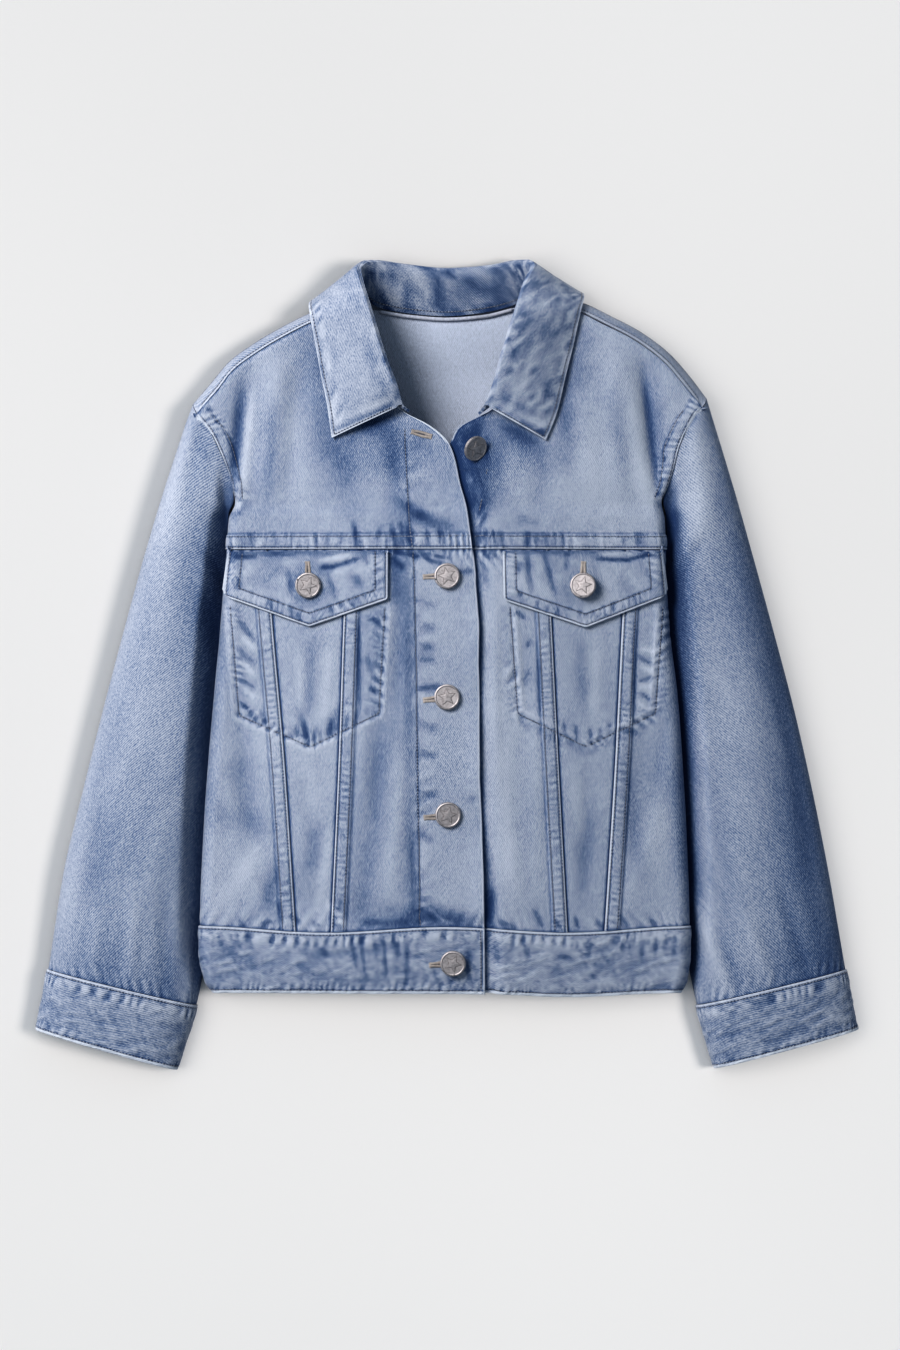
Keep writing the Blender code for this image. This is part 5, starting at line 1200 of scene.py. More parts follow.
def centre_panel(side):
    sign, rows = SIDES[side], panel_rows()
    fold = np.abs(seam[side + "_inner"](rows)) - GAP / 2
    strip = stepped(fold, SEAM_STEPS, -1)
    cells = [9] * (len(strip) - 1) + [cell()]
    if side == "right":
        edge, places = -wavy_edge(rows), np.array(PLACKET_ROW[::-1])
        row = -np.interp(rows, places[:, 1], places[:, 0])
        lines = [*strip, *stepped(row, [1.2, 0.5, 0, -0.5, -1.2], 1), *stepped(edge, EDGE_STEPS[::-1], 1)]
        a = spaced(lines, cells + [9] * 4 + [cell()] + [9] * len(EDGE_STEPS))
        y = panel_heights(a, rows)
        over = placket_rise(-a, y) + edge_lift(-a, y)
        inside = -CLOTH - 0.3 * (over > 0.01) + edge_lift(-a, y)
        d = a - edge[:, None]
        groove = bell((a - row[:, None]) / 0.7)
        extra = edge_profile(d, groove=0) - 0.25 * groove
        tint_and_shade = edge_wear(d, 0.7, groove=0) - 0.3 * groove - 0.14 * ease((a - row[:, None]) / 8)
    else:
        hidden, edge = over_edge(rows), under_edge(rows)
        a = spaced([*strip, hidden + 14, hidden + 1, edge], cells + [cell(), 4])
        y = panel_heights(a, rows)
        over = lap(y, a, LAP_SINK)
        inside = over - CLOTH
        # Painted shadow of the over front's edge on the under front, wider towards the hem.
        shadow_reach = 2.2 + 4.5 * ease((-100 - y) / 60)
        extra, tint_and_shade = 0, -0.9 * bell(np.maximum(a - hidden[:, None] - 0.5, 0) / shadow_reach)
    d = fold[:, None] - a
    points, normals, relief, wear = front_skin(side, a * sign, y)
    relief, wear = roped(d, y, 205 + sign, relief, wear)
    wear = wear + seam_wear_and_shade(d) + tint_and_shade + ends_painted_shade(a, y)
    relief = relief * (1 if side == "right" else ease((a - over_edge(y) - 1) / 8))
    inside = inside + relief * (1 if side == "left" else ease((over_edge(y) + a - 2) / 8))
    cloth("centre_front_" + side, ["back_panel"], points, normals, relief + over + seam_profile(d) + extra,
          inside, wear, plain_uv(a * sign, y))


def seam_height(side, depth):
    y = np.linspace(ARMPIT + 30, SLEEVES[side][0].outer_y, 600)
    return float(y[np.argmin(np.abs(shoulder_depth(front_end(side, y) * SIDES[side], y) - depth))])


def shoulder_points(side, k, depth):
    """Plan points along the shoulder at a depth under its top line, for shares of the way to the tip."""
    x = k * SIDES[side] * body[side](TIP)
    top, slant = shoulder_top(x)
    return x, top - depth * slant


def yoke_grid(side, fan):
    """A front yoke's plan: level rows up to the split, then rows that fan out to the shoulder seam."""
    sign = SIDES[side]
    low = YOKE_SEAM + GAP / 2
    top = seam_height(side, SHOULDER_SEAM + GAP / 2)
    level = np.linspace(low + 13, YOKE_SPLIT, int((YOKE_SPLIT - low - 13) / cell()) + 1)
    rows = np.concatenate([low + np.array(SEAM_STEPS), level])
    outer = cut_end(side, rows) * sign
    if side == "right":
        inner = over_edge(rows)
        coarse = [outer + (inner - 26 - outer) * k / 7 for k in range(7)]
        coarse += [inner - 26 + 26 * k / 4 for k in range(5)]
    else:
        inner, hidden = under_edge(rows), over_edge(rows) + 14
        turn = np.maximum(np.where(rows < 130, hidden, inner + 12), inner + 8)
        lines = [outer, turn, np.maximum(turn - 13, inner + 3), inner]
        coarse = []
        for a, b, n in zip(lines, lines[1:], [6, 3, 2]):
            coarse += [a + (b - a) * k / n for k in range(n)]
        coarse.append(inner)
    coarse = np.stack(coarse, 1)
    steps = np.array(SEAM_STEPS) / 20
    wanted = np.concatenate([steps, np.linspace(0.66, 10.5, int(142 / cell())), np.linspace(10.6, 11, 9)])
    a = np.stack([np.interp(wanted, np.arange(12), row) for row in coarse])
    shares = np.interp(wanted, np.arange(12), SHOULDER_SHARES)
    y = np.broadcast_to(rows[:, None], a.shape)
    t = np.linspace(0, 1, fan + 1)[1:, None]
    top_x, top_y = shoulder_points(side, shares, SHOULDER_SEAM + GAP / 2)
    top_x[0] = sign * cut_end(side, top)
    top_y[0] = top
    edge = over_edge if side == "right" else under_edge
    edge_y = YOKE_SPLIT + (top_y[-1] - YOKE_SPLIT) * t**0.9
    edge_x = edge(edge_y) + sign * COLLAR_GAP * ease((edge_y - 160) / 8)
    low_x, low_y = a[-1], y[-1]
    fan_x, fan_y = low_x + (top_x - low_x) * t, low_y + (top_y - low_y) * t
    arm_y = YOKE_SPLIT + (top - YOKE_SPLIT) * t
    arm_x = sign * cut_end(side, arm_y)
    share = (low_x - low_x[0]) / (low_x[-1] - low_x[0])
    fan_x = fan_x + (1 - share) * (arm_x - fan_x[:, :1]) + share * (edge_x - fan_x[:, -1:])
    fan_y = fan_y + (1 - share) * (arm_y - fan_y[:, :1]) + share * (edge_y - fan_y[:, -1:])
    return np.concatenate([a, fan_x]), np.concatenate([y, fan_y])


def lap_narrowing(y):
    """The armhole's folded seam narrows towards the armpit."""
    return 1 + 0.8 * (1 - ease((y - ARMPIT - 2) / 38))


def yoke(side):
    a, y = yoke_grid(side, 44)
    points, normals, relief, wear = front_skin(side, a, y)
    x = points[..., 0]
    ripple, tint_and_shade = yoke_marks(side, x, y)
    arm = np.abs(a) - cut_end(side, y)
    lap_depth = -arm * lap_narrowing(y)
    d = y - YOKE_SEAM - GAP / 2
    if side == "right":
        over = placket_rise(a, y) * (y < 165) + edge_lift(a, y)
        inside = -CLOTH - 0.3 * (over > 0.01) + edge_lift(a, y)
        shown, edge = 1, over_edge(y) - a
        extra = edge_profile(edge, groove=0) * ease((168 - y) / 6)
        tint_and_shade = tint_and_shade + edge_wear(edge, 0.7, groove=0) * ease((172 - y) / 6)
        tint_and_shade = tint_and_shade + edge_wear(edge, 1.3, 2.6, 0.5) * ease((y - 147) / 4) * ease((178 - y) / 6)
        tint_and_shade = tint_and_shade - 0.3 * bell(from_line(PLACKET_ROW, x, y)[0] / 0.9)
    else:
        over = lap(y, a, LAP_SINK) * ease((168 - y) / 8)
        inside = over - CLOTH
        shown, edge = 1 + over / LAP_SINK, a - under_edge(y)
        extra = edge_profile(edge) * ease((y - 146) / 4)
        tint_and_shade = tint_and_shade + edge_wear(edge, 0.8) * ease((y - 146) / 4)
        # Painted shadow of the over front's edge on the under front.
        tint_and_shade = tint_and_shade - 0.9 * bell(np.maximum(a - over_edge(y) - 1, 0) / 3.5) * (y < 150)
        # Painted shade, blotched, on the under front below the neck, where the collar and the over front shade
        # it.
        mottle = 0.85 + 0.9 * blotches(a, y, 4, 13, 12, 83)
        tint_and_shade = tint_and_shade - 0.68 * mottle * ease((y - 96) / 12) * ease((34 - a) / 9) * (1 - edge_wear(edge, 0.8))
    relief = relief * ease(-arm / 4) * shoulder_round(x, y)
    wear = wear + tint_and_shade + seam_wear_and_shade(d) * (y < 95)
    depth = shoulder_depth(x, y) - SHOULDER_SEAM
    wear = wear - 1.1 * bell(depth / 0.9) + seam_wear_and_shade(lap_depth) * ease((y - ARMPIT - 1) / 5) * ease(depth / 4)
    armhole_lap = (seam_profile(lap_depth) - 0.2) * ease((y - ARMPIT) / 8)
    lapped = np.maximum(seam_profile(d) * (y < 95) * shown, armhole_lap)
    outside = relief + over + lapped * shoulder_round(x, y) + extra + pucker() * 0.5 * ripple * ease(-arm / 3)
    cloth("front_yoke_" + side, ["back_yoke"], points, normals, outside, inside + relief, wear, plain_uv(a, y))


def flap_outline(side):
    f = FLAPS[side]
    return [(f.outer_top, f.top_y), (f.outer_low, f.outer_y), (f.point_x, f.point_y),
            (f.inner_low, f.inner_y), (f.inner_top, f.top_y)]


def flap(side):
    sign, f = SIDES[side], FLAPS[side]
    edge_steps = np.array([0, 0.3, 0.8, 1.2, 1.7, 2.3, 3.2, 4.6, 6.2, 7.6, 8.4, 9.2, 10.4])
    half = (abs(f.outer_low) - abs(f.inner_low)) / 2
    inside = np.linspace(12, half, int((half - 12) / 1.4))
    steps = np.concatenate([edge_steps, inside])
    share = np.concatenate([steps, (2 * half - steps)[::-1][1:]]) / (2 * half)
    top = abs(f.outer_top) + (abs(f.inner_top) - abs(f.outer_top)) * share
    low = abs(f.outer_low) + (abs(f.inner_low) - abs(f.outer_low)) * share
    corners = [-abs(f.outer_low), -abs(f.point_x), -abs(f.inner_low)]
    low_y = np.interp(-low, corners, [f.outer_y, f.point_y, f.inner_y])
    near_outer, near_inner = (abs(f.outer_low) - low) / 7, (low - abs(f.inner_low)) / 3
    for near, size in ((near_outer, 5.0), (near_inner, 1.6)):
        low_y = low_y + size * (1 - np.sqrt(1 - np.clip(1 - near, 0, 1) ** 2))
    rows = np.concatenate([edge_steps, np.linspace(12, 29, 12)])
    last = rows[-1]
    above = np.linspace(0, 1, 16)[1:, None]
    y = np.concatenate([low_y + rows[:, None] * np.ones_like(low_y),
                        low_y + last + (f.top_y - low_y - last) * above])
    down = (f.top_y - y) / (f.top_y - low_y)
    x = top + (low - top) * down
    points, normals = framed(front, across_cloth(side, x, y) * sign, y, 0.05)
    away, along = from_line(flap_outline(side), x * sign, y)
    d = np.abs(away)
    under = front_marks(side, x * sign, y)[0]
    ripple = roping(d - 5, along, 5.5, 3.2, 4.4, 0.25, 71 + sign)
    wear = 0.42 * ripple + 0.24 * np.clip(1.4 * blotches(x * sign, y, 8, 12, 35 * sign, 73 + sign), -1, 1)
    streaks = fold_height(FLAP_STREAKS, x * sign, y)
    wear = wear + edge_wear(d, 0.9) - 0.75 * bell((d - FLAP_ROW) / 0.55)
    # Painted shadow along the flap's top, under the yoke band.
    wear = wear - 0.6 * bell((f.top_y - y) / 3) + streaks
    # A ring of painted shade round the button.
    button = np.hypot(x * sign - BUTTONS[4 if side == "right" else 5].x, y - 52.9)
    wear = wear - 0.25 * bell((button - 10) / 5)
    groove = bell((d - ROW_NEAR) / 0.6) + bell((d - FLAP_ROW) / 0.6)
    relief = pucker() * (0.8 * ripple + streaks + 0.3 * under) * ease((f.top_y - y) / 5) - 0.2 * groove
    outside = FLAP_GAP + FLAP_CLOTH + relief + np.where(y > f.top_y - 1, 0, edge_profile(d))
    cloth("pocket_flap_" + side, ["middle_front_" + side], points, normals, outside, FLAP_GAP, wear,
          plain_uv(x * sign, y), lined=False)


def band_marks(x, y, low, high, seed, lean):
    """A band's mottled wash, the ripples along both its edges and its long waves: height and wear."""
    below = np.maximum(high - y, 0)
    top = np.tanh(2.4 * roping(below - 5.5, x, 6, 6, 7.2, 0.2 * lean, seed) + 0.5) * bell((below - 5.8) / 3.6)
    foot = 0.7 * roping(np.maximum(y - low, 0) - 3, x, 6, 4, 5.6, -0.3 * lean, seed + 9)
    inner = ease((high - y - 7) / 7)
    waves = np.clip(1.5 * blotches(x, y, 11, 2.7, 14 * lean, seed + 20), -1, 1) * inner
    mottle = np.clip(1.4 * blotches(x, y, 2.7, 6, 34 * lean, seed + 25), -1, 1)
    wear = -0.09 + 0.62 * top + 0.5 * foot + 0.24 * waves + 0.20 * mottle
    return top + foot + 0.7 * waves + 0.4 * mottle, wear


def band_rows():
    """Shares of a band's height, closer at both of its stitched edges."""
    width = WAIST_SEAM - HEM
    steps = np.array(EDGE_STEPS) / width
    inside = np.linspace(steps[-1], 1 - steps[-1], int(width / cell()) + 1)
    return np.concatenate([steps, inside[1:-1], (1 - steps)[::-1]])


def waist_band(side):
    sign, share = SIDES[side], band_rows()
    rows = HEM + (WAIST_SEAM - HEM) * share
    end = front_end(side, rows) - GAP / 2
    roll = end - body["roll"](rows) * 1.4
    if side == "right":
        edge = over_edge(rows) + 0.4
        a = spaced([-end, -roll, *stepped(edge, EDGE_STEPS[::-1], -1)], [2, cell()] + [9] * len(EDGE_STEPS))
        over, d = 0, edge[:, None] - a
    else:
        hidden = over_edge(rows)
        a = spaced([under_edge(rows), hidden + 1, hidden + 14, roll, end], [4, 1.6, cell(), 2])
        over, d = lap(rows[:, None], a, BAND_SINK), 99
    low, high = hem_line(a), waist_line(a) - GAP / 2
    y = low + (high - low) * share[:, None]
    points, normals = framed(front, a, y, 0.05)
    height, wear = band_marks(a, y, low, high, 101 + sign, 1)
    streaks = 0.7 * fold_height(BAND_STREAKS, a, y)
    height, wear = height + streaks, wear + streaks
    rim = np.minimum(high - y, d)
    # The hem's rim is paler than the top rim (much 1.5): partly worn edge, partly painted light on a rim that
    # rolls away from the key light.
    wear = wear + edge_wear(rim, 0.8) + edge_wear(y - low, 1.5, ROW_HEM) - (0.12 if side == "right" else 0)
    # Painted shade over the side roll.
    wear = wear - 0.2 * ease((np.abs(a) - roll[:, None]) / 12)
    free = 1.0
    if side == "left":
        free = ease((a - over_edge(y) - 1) / 8)
        # Painted shadow of the over front's band beside its edge, and darker cloth under it.
        wear = wear - 0.6 * bell((a - over_edge(y) - 1) / 3) - 0.5 * (a < over_edge(y))
    relief = pucker() * height * free
    rolled = np.minimum(edge_profile(rim), edge_profile(1.6 * (y - low), 1.6 * ROW_HEM))
    cloth("waistband_front_" + side, ["waistband_back"], points, normals,
          over + BAND_RISE + relief * 0.8 + rolled, over - BAND_INSIDE, wear, plain_uv(y, a), lined=False)


def back_lines(rows):
    """Grid columns of the back, from one side fold to the other."""
    right, left = (front_end(side, rows) - GAP / 2 for side in SIDES)
    roll = body["roll"](rows) * math.pi / 2
    return spaced([-right, roll - right, left - roll, left], [2, 3, 2])


def waist_band_back():
    share = band_rows()
    a = back_lines(HEM + (WAIST_SEAM - HEM) * share)
    low, high = hem_line(a), waist_line(a) - GAP / 2
    y = low + (high - low) * share[:, None]
    points, normals = framed(back, a, y, 0.05, -1)
    height, wear = band_marks(a, y, low, high, 131, -1)
    rim = np.minimum(high - y, y - low)
    raised = BAND_RISE * ease((points[..., 2] - 1) / 3)
    outside = raised + np.minimum(pucker() * height * 0.6 + edge_profile(rim), 0)
    outside = np.where(points[..., 2] < 1, np.minimum(outside, 0), outside)
    cloth("waistband_back", ["floor"], points, normals, outside, raised - BAND_RISE - BAND_INSIDE,
          wear + edge_wear(rim, 0.7), plain_uv(y, a), lined=False)


def back_panel():
    rows = panel_rows()
    rows = np.interp(np.linspace(0, 1, len(rows) // 2), np.linspace(0, 1, len(rows)), rows)
    a = back_lines(rows)
    y = panel_heights(a, rows)
    points, normals = framed(back, a, y, 0.05, -1)
    crease = fold_height(BACK_CREASES, points[..., 0], y)
    ripple = roping(y - WAIST_SEAM, a, 12, 4, 6.2, 0.3, 141) + roping(YOKE_SEAM - y, a, 11, 4, 6.8, -0.3, 143)
    relief = np.minimum(0.8 * crease + pucker() * ripple - 0.5, 0)
    # Creases tint the cloth, painted shade in troughs and painted light on ridges, and ends_painted_shade
    # darkens both seams.
    wear = 0.5 * ripple + 0.2 * crease + 0.15 * blotches(a, y, 18, 30, 20, 145) + ends_painted_shade(a, y, 0.5)
    cloth("back_panel", ["floor"], points, normals, relief, relief * 0.3 - CLOTH, wear, plain_uv(a, y))


def back_yoke():
    shares = np.concatenate([np.linspace(1, 0.396, 36), np.linspace(0.385, 0.3, 8)])
    middle = np.linspace(0.285, -0.285, 39)
    k = np.concatenate([-shares, -middle, shares[::-1]])
    over = np.linspace(YOKE_BEND, 1, 25)[1:]
    v = np.concatenate([np.linspace(0, 0.06, 10), np.linspace(0.075, YOKE_BEND, 34), over])
    kk, vv = np.meshgrid(k, v)
    points, normals = framed(back_yoke_surface, kk, vv, 0.0004, -1)
    x, y = points[..., 0], points[..., 1]
    d = y - YOKE_SEAM - GAP / 2
    low = vv < YOKE_BEND
    crease = fold_height(BACK_CREASES, x, y)
    relief = np.where(low, np.minimum(0.6 * crease - 0.2, 0), 0) * ease((1 - np.abs(kk)) / 0.04)
    groove = np.where(low, bell((d - ROW_NEAR) / 0.7) + bell((d - ROW_FAR) / 0.7), 0)
    wear = 0.15 * blotches(x, y, 14, 20, 10, 151) - 0.25 * groove
    wear = wear + np.where(low, 0.7 * bell(np.clip(d - 0.3, 0, None) / 0.9), 0)
    edge = shoulder_depth(x, y) - SHOULDER_SEAM
    sewn = 0.6 * bell(edge + 0.6) - 0.3 * bell((edge + 1.9) / 0.7)
    wear = wear + np.where((vv > 0.9) & (np.abs(kk) > 0.39), sewn, 0)
    steps_up = np.linalg.norm(np.diff(points, axis=0), axis=-1)
    up = np.concatenate([0 * x[:1], np.cumsum(steps_up, axis=0)])
    cloth("back_yoke", ["floor"], points, normals, relief - 0.2 * groove, relief - CLOTH, wear, plain_uv(x, up))


def sleeve_marks(side, theta, v, width, x, y):
    """A sleeve's creases, wear and painted shade at places seen from above: height in mm, and wear with painted
    shade and light.
    """
    turn = np.where(theta <= math.pi, theta / math.pi, (2 * math.pi - theta) / math.pi)
    along, across = v * STATION, turn * width
    seed = 161 if side == "right" else 171
    creases = [Fold(c.turn0 * width, c.v0 * STATION, c.turn1 * width, c.v1 * STATION, c.width, c.depth)
               for c in SLEEVE_CREASES[side]]
    height = fold_height(creases, across, along)
    gather = 0.6 * roping(CUFF_SEAM * STATION - along, across, 9, 4, 6.4, 0.5, seed)
    cap = roping(along, across, 12, 4, 8, 0.2, seed + 2) * 0.5
    # Painted shade: deep darkens the valley beside the body. On the right sleeve the inner part is painted
    # darker; on the left sleeve outer darkens the outer half and ridge paints a lit band, as the key light from
    # the left would.
    out = np.maximum(np.abs(x) - body[side](np.maximum(y, HEM)), 0)
    deep = bell(out / (7 + 6 * bell((y - 45) / 70))) * ease((140 - y) / 45)
    if side == "right":
        shade = 0.02 - 0.24 * ease((turn - 0.15) / 0.35) - 0.85 * deep
    else:
        ridge = bell((x - 185.5 + 0.075 * y) / 13)
        outer = ease((0.66 - turn) / 0.45) * (0.60 - 0.14 * ease((y - 60) / 90))
        shade = 0.02 - outer - 1.5 * deep + 0.20 * ridge * ease((y + 110) / 140)
    wear = shade + 0.12 * blotches(across, along, 12, 40, 8, seed + 4)
    wear = wear + 0.05 * blotches(across, along, 4, 8, 30, seed + 5)
    wear = wear + 0.09 * blotches(across, along, 2.6, 24, 8, seed + 6)
    wear = wear + 0.55 * gather + 0.3 * cap - 0.21 * ease((v - 8.2) / 0.8) - 0.5 * bell((CUFF_SEAM - v) / 0.03)
    # Creases tint the cloth: painted shade in their troughs, painted light on their ridges.
    return height + pucker() * (gather + cap), wear + 0.24 * height


def sleeve_skin(side, theta, v):
    """A sleeve's points and normals."""
    return framed(lambda t, s: sleeve_surface(side, t, s), theta, v, 0.002, SIDES[side])


def sleeve(side):
    halves = {"sleeve_top_": (np.linspace(0.006, math.pi - 0.006, int(105 / cell())), int(345 / cell())),
              "sleeve_under_": (np.linspace(math.pi, 2 * math.pi, int(60 / cell())), int(200 / cell()))}
    table = SLEEVES[side]
    spans = [math.hypot(r.inner_x - r.outer_x, r.inner_y - r.outer_y) for r in table]
    middles = [np.array([r.inner_x + r.outer_x, r.inner_y + r.outer_y]) / 2 for r in table]
    steps_down = [math.hypot(*(q - p)) for p, q in zip(middles, middles[1:])]
    reach = curve(np.arange(len(table)), np.cumsum([0, *steps_down]))
    for name, (theta, steps) in halves.items():
        long = np.linspace(0.07, CUFF_SEAM - 0.04, steps)
        v = np.concatenate([[0.03, 0.045], long, [CUFF_SEAM - 0.02, CUFF_SEAM - 0.008]])
        tt, vv = np.meshgrid(theta, v)
        width = 1.2 * curve(np.arange(len(table)), spans)(vv)
        points, normals = sleeve_skin(side, tt, vv)
        inner, facing = sleeve_skin(side, tt, np.maximum(vv, v[0] + MITRE))
        height, wear = sleeve_marks(side, tt, vv, width, points[..., 0], points[..., 1])
        turn = ease(np.minimum(np.abs(np.sin(tt)) / 0.35, 1))
        height = height * turn * ease((vv - 0.03) / 0.4)
        if name == "sleeve_under_":
            height = np.minimum(height - 0.4, 0) * turn
            wear = wear - 0.15
        lining = inner + facing * (np.minimum(height, 0.4)[..., None] - SLEEVE_CLOTH)
        cloth(name + side, ["floor"], points, normals, height, -CLOTH, wear,
              plain_uv(tt / math.pi * width, -reach(vv)), lining=lining)


def cuff(side):
    share = band_rows()
    theta = np.linspace(0, 2 * math.pi, int(240 / cell()), endpoint=False)
    tt, vv = np.meshgrid(theta, CUFF_SEAM + (CUFF_MOUTH - CUFF_SEAM) * share)
    points, normals = sleeve_skin(side, tt, vv)
    around = tt / math.pi * CUFF_HALF_ROUND
    along = (1 - (vv - CUFF_SEAM)) * CUFF_WIDTH
    height, wear = band_marks(around, along, 0, CUFF_WIDTH, 181 + SIDES[side], -SIDES[side])
    # The mouth's rim is painted paler (much 1.5): partly worn edge, partly painted light on a rim that rolls
    # away from the key light.
    wear = wear + edge_wear(CUFF_WIDTH - along, 0.8) + edge_wear(along, 1.5, ROW_HEM)
    wear = wear - (0.12 if side == "right" else 0.16)
    raised = ease((points[..., 2] - 0.5) / 2)
    rolled = np.minimum(edge_profile(CUFF_WIDTH - along), edge_profile(1.6 * along, 1.6 * ROW_HEM))
    outside = BAND_RISE * raised + (0.8 * pucker() * height + rolled) * raised
    inside = BAND_RISE * raised - BAND_RISE - BAND_INSIDE
    closing = np.full((len(share), 1), 2.0 * CUFF_HALF_ROUND)
    cloth("cuff_" + side, ["floor"], points, normals, outside, inside, wear,
          plain_uv(around, along, closing)[..., ::-1], closed=True, lined=False)


def collar():
    near_end = np.array([0, 0.006, 0.016, 0.03, 0.05])
    u = np.concatenate([near_end, np.linspace(0.08, 19.92, 230), [19.95, 19.97, 19.984, 19.994, 20]])
    near_edge = [0.925, 0.945, 0.96, 0.972, 0.984, 0.994, 1.0]
    fall = 0.6 + 0.4 * np.concatenate([np.linspace(0, 0.9, 30)[1:], near_edge])
    w = np.concatenate([np.linspace(0, 0.4, 12), np.linspace(0.4, 0.6, 11)[1:], fall])
    uu, ww = np.meshgrid(u, w, indexing="ij")
    points = collar_surface(uu, ww)
    normals = unit(np.cross(np.gradient(points, axis=1), np.gradient(points, axis=0)))
    rims = (points[:, -1:], points[:1], points[-1:])
    edge, start, end = (np.linalg.norm(points - rim, axis=-1) for rim in rims)
    falls, ends = ww > 0.6, np.minimum(start, end)
    d = np.where(falls, np.minimum(edge, ends), ends + 3)
    steps_round = np.linalg.norm(np.diff(points[:, -1], axis=0), axis=-1)
    around = np.concatenate([[0], np.cumsum(steps_round)])[:, None] + 0 * uu
    roll_start = int(np.argmin(np.abs(w - 0.6)))
    drop = np.where(falls, edge, edge[:, roll_start : roll_start + 1] + (0.6 - ww) * 50)
    ripple = roping(d - 4, around, 8, 5, 7, 0.5, 191) * falls
    patches = blotches(around, drop, 9, 15, 40, 193)
    left_leaf, inside_neck = ease((uu - 12) / 3), (ww < 0.55)
    slant = np.clip(1.5 * blotches(around, drop, 2.3, 7, 38, 197), -1, 1)
    near_roll = ease((edge - 24) / 18) * falls
    # Painted shade: the left leaf is darker, as a leaf that turns away from the key light.
    wear = 0.16 * patches - 0.17 * left_leaf + (0.10 + 0.42 * left_leaf + 0.2 * near_roll) * slant
    wear = wear + 0.6 * ripple - 0.22 * near_roll * (1 - left_leaf)
    bands = 1.1 * blotches(around, drop, 2.0, 8, 24, 199) + 0.9 * blotches(around, drop, 1.9, 8, -38, 203)
    bands = np.clip(bands, -1, 1)
    wear = np.where(inside_neck, -0.44 + 0.75 * bands, wear) + np.where(falls, edge_wear(d, 1.0), 0)
    wear = wear + 0.25 * bell((ww - 0.5) / 0.06) - 0.4 * bell(ww / 0.03)
    relief = pucker() * (0.8 * ripple + np.where(inside_neck, bands, 0.5 * patches + 1.2 * left_leaf * slant))
    half = COLLAR_CLOTH / 2
    outside = half + relief * ease(ww / 0.1) + np.where(falls, edge_profile(d), 0)
    cloth("collar", ["front_yoke_right", "front_yoke_left"], points, normals, outside, -half, wear,
          plain_uv(drop, around), held="folded", lined=False)


def neck_tape():
    """The piped tape over the back neck seam."""
    sides, rings = 14, 70
    x = np.linspace(-45, 44, rings)
    centre = np.stack([x, back_neck(x) - 1.2, np.full(rings, NECK_LIFT + CLOTH + TAPE_RADIUS + 0.4)], 1)
    angle = np.arange(sides) / sides * 2 * math.pi
    ring = np.stack([0 * angle, np.cos(angle), np.sin(angle)], -1)
    points = centre[:, None] + TAPE_RADIUS * (1 + 0.06 * np.sin(x * 2.6))[:, None, None] * ring
    row, col = quads(rings, sides, True)
    faces = (row * sides + col % sides).tolist()
    faces += [tuple(range(sides - 1, -1, -1)), tuple((rings - 1) * sides + j for j in range(sides))]
    look = material("tape", spun, tuple(1.7 * v for v in colors().thread))
    piece = mesh_piece("neck_piping", points.reshape(-1, 3) * MM, faces, look)
    piece.data.shade_smooth()
    attach(piece, "tape_and_thread", "neck_tape")


# --- stitches


def surface_tree(name):
    piece = bpy.data.objects[name]
    return BVHTree.FromObject(piece, bpy.context.evaluated_depsgraph_get())


def along_line(places, normals):
    """Places in a line, their normals made square to it, and its ways."""
    places, normals = np.array(places), np.array(normals)
    ways = unit(np.gradient(places, axis=0))
    return places, unit(normals - ways * (normals * ways).sum(1, keepdims=True)), ways


def laid_row(piece, line):
    """Stitches along a line of points in millimetres, on a piece's surface: places, normals, ways and pitch."""
    tree, pitch = surface_tree(piece), sizes().stitch / MM
    line = np.asarray(line, float)
    length = np.concatenate([[0], np.cumsum(np.linalg.norm(np.diff(line, axis=0), axis=1))])
    count = max(2, int(length[-1] / pitch))
    along = (np.arange(count) + 0.5) * length[-1] / count
    guide = np.stack([np.interp(along, length, line[:, k]) for k in range(3)], 1)
    return (*along_line(*zip(*(tree.find_nearest(Vector(p * MM))[:2] for p in guide))), pitch * MM)


def apply_place():
    bpy.ops.object.transform_apply(location=True, rotation=True, scale=True)


def one_stitch():
    """A stitch of unit length along X, modelled once: its ends dip into the cloth."""
    bpy.ops.object.select_all(action="DESELECT")
    bpy.ops.mesh.primitive_uv_sphere_add(segments=5, ring_count=4, radius=0.5, rotation=(0, math.pi / 2, 0))
    apply_place()
    shape = bpy.context.object
    points = np.array([tuple(v.co) for v in shape.data.vertices])
    faces = [tuple(p.vertices) for p in shape.data.polygons]
    bpy.data.objects.remove(shape)
    points[:, 2] -= 0.9 * points[:, 0] ** 2
    return points, faces


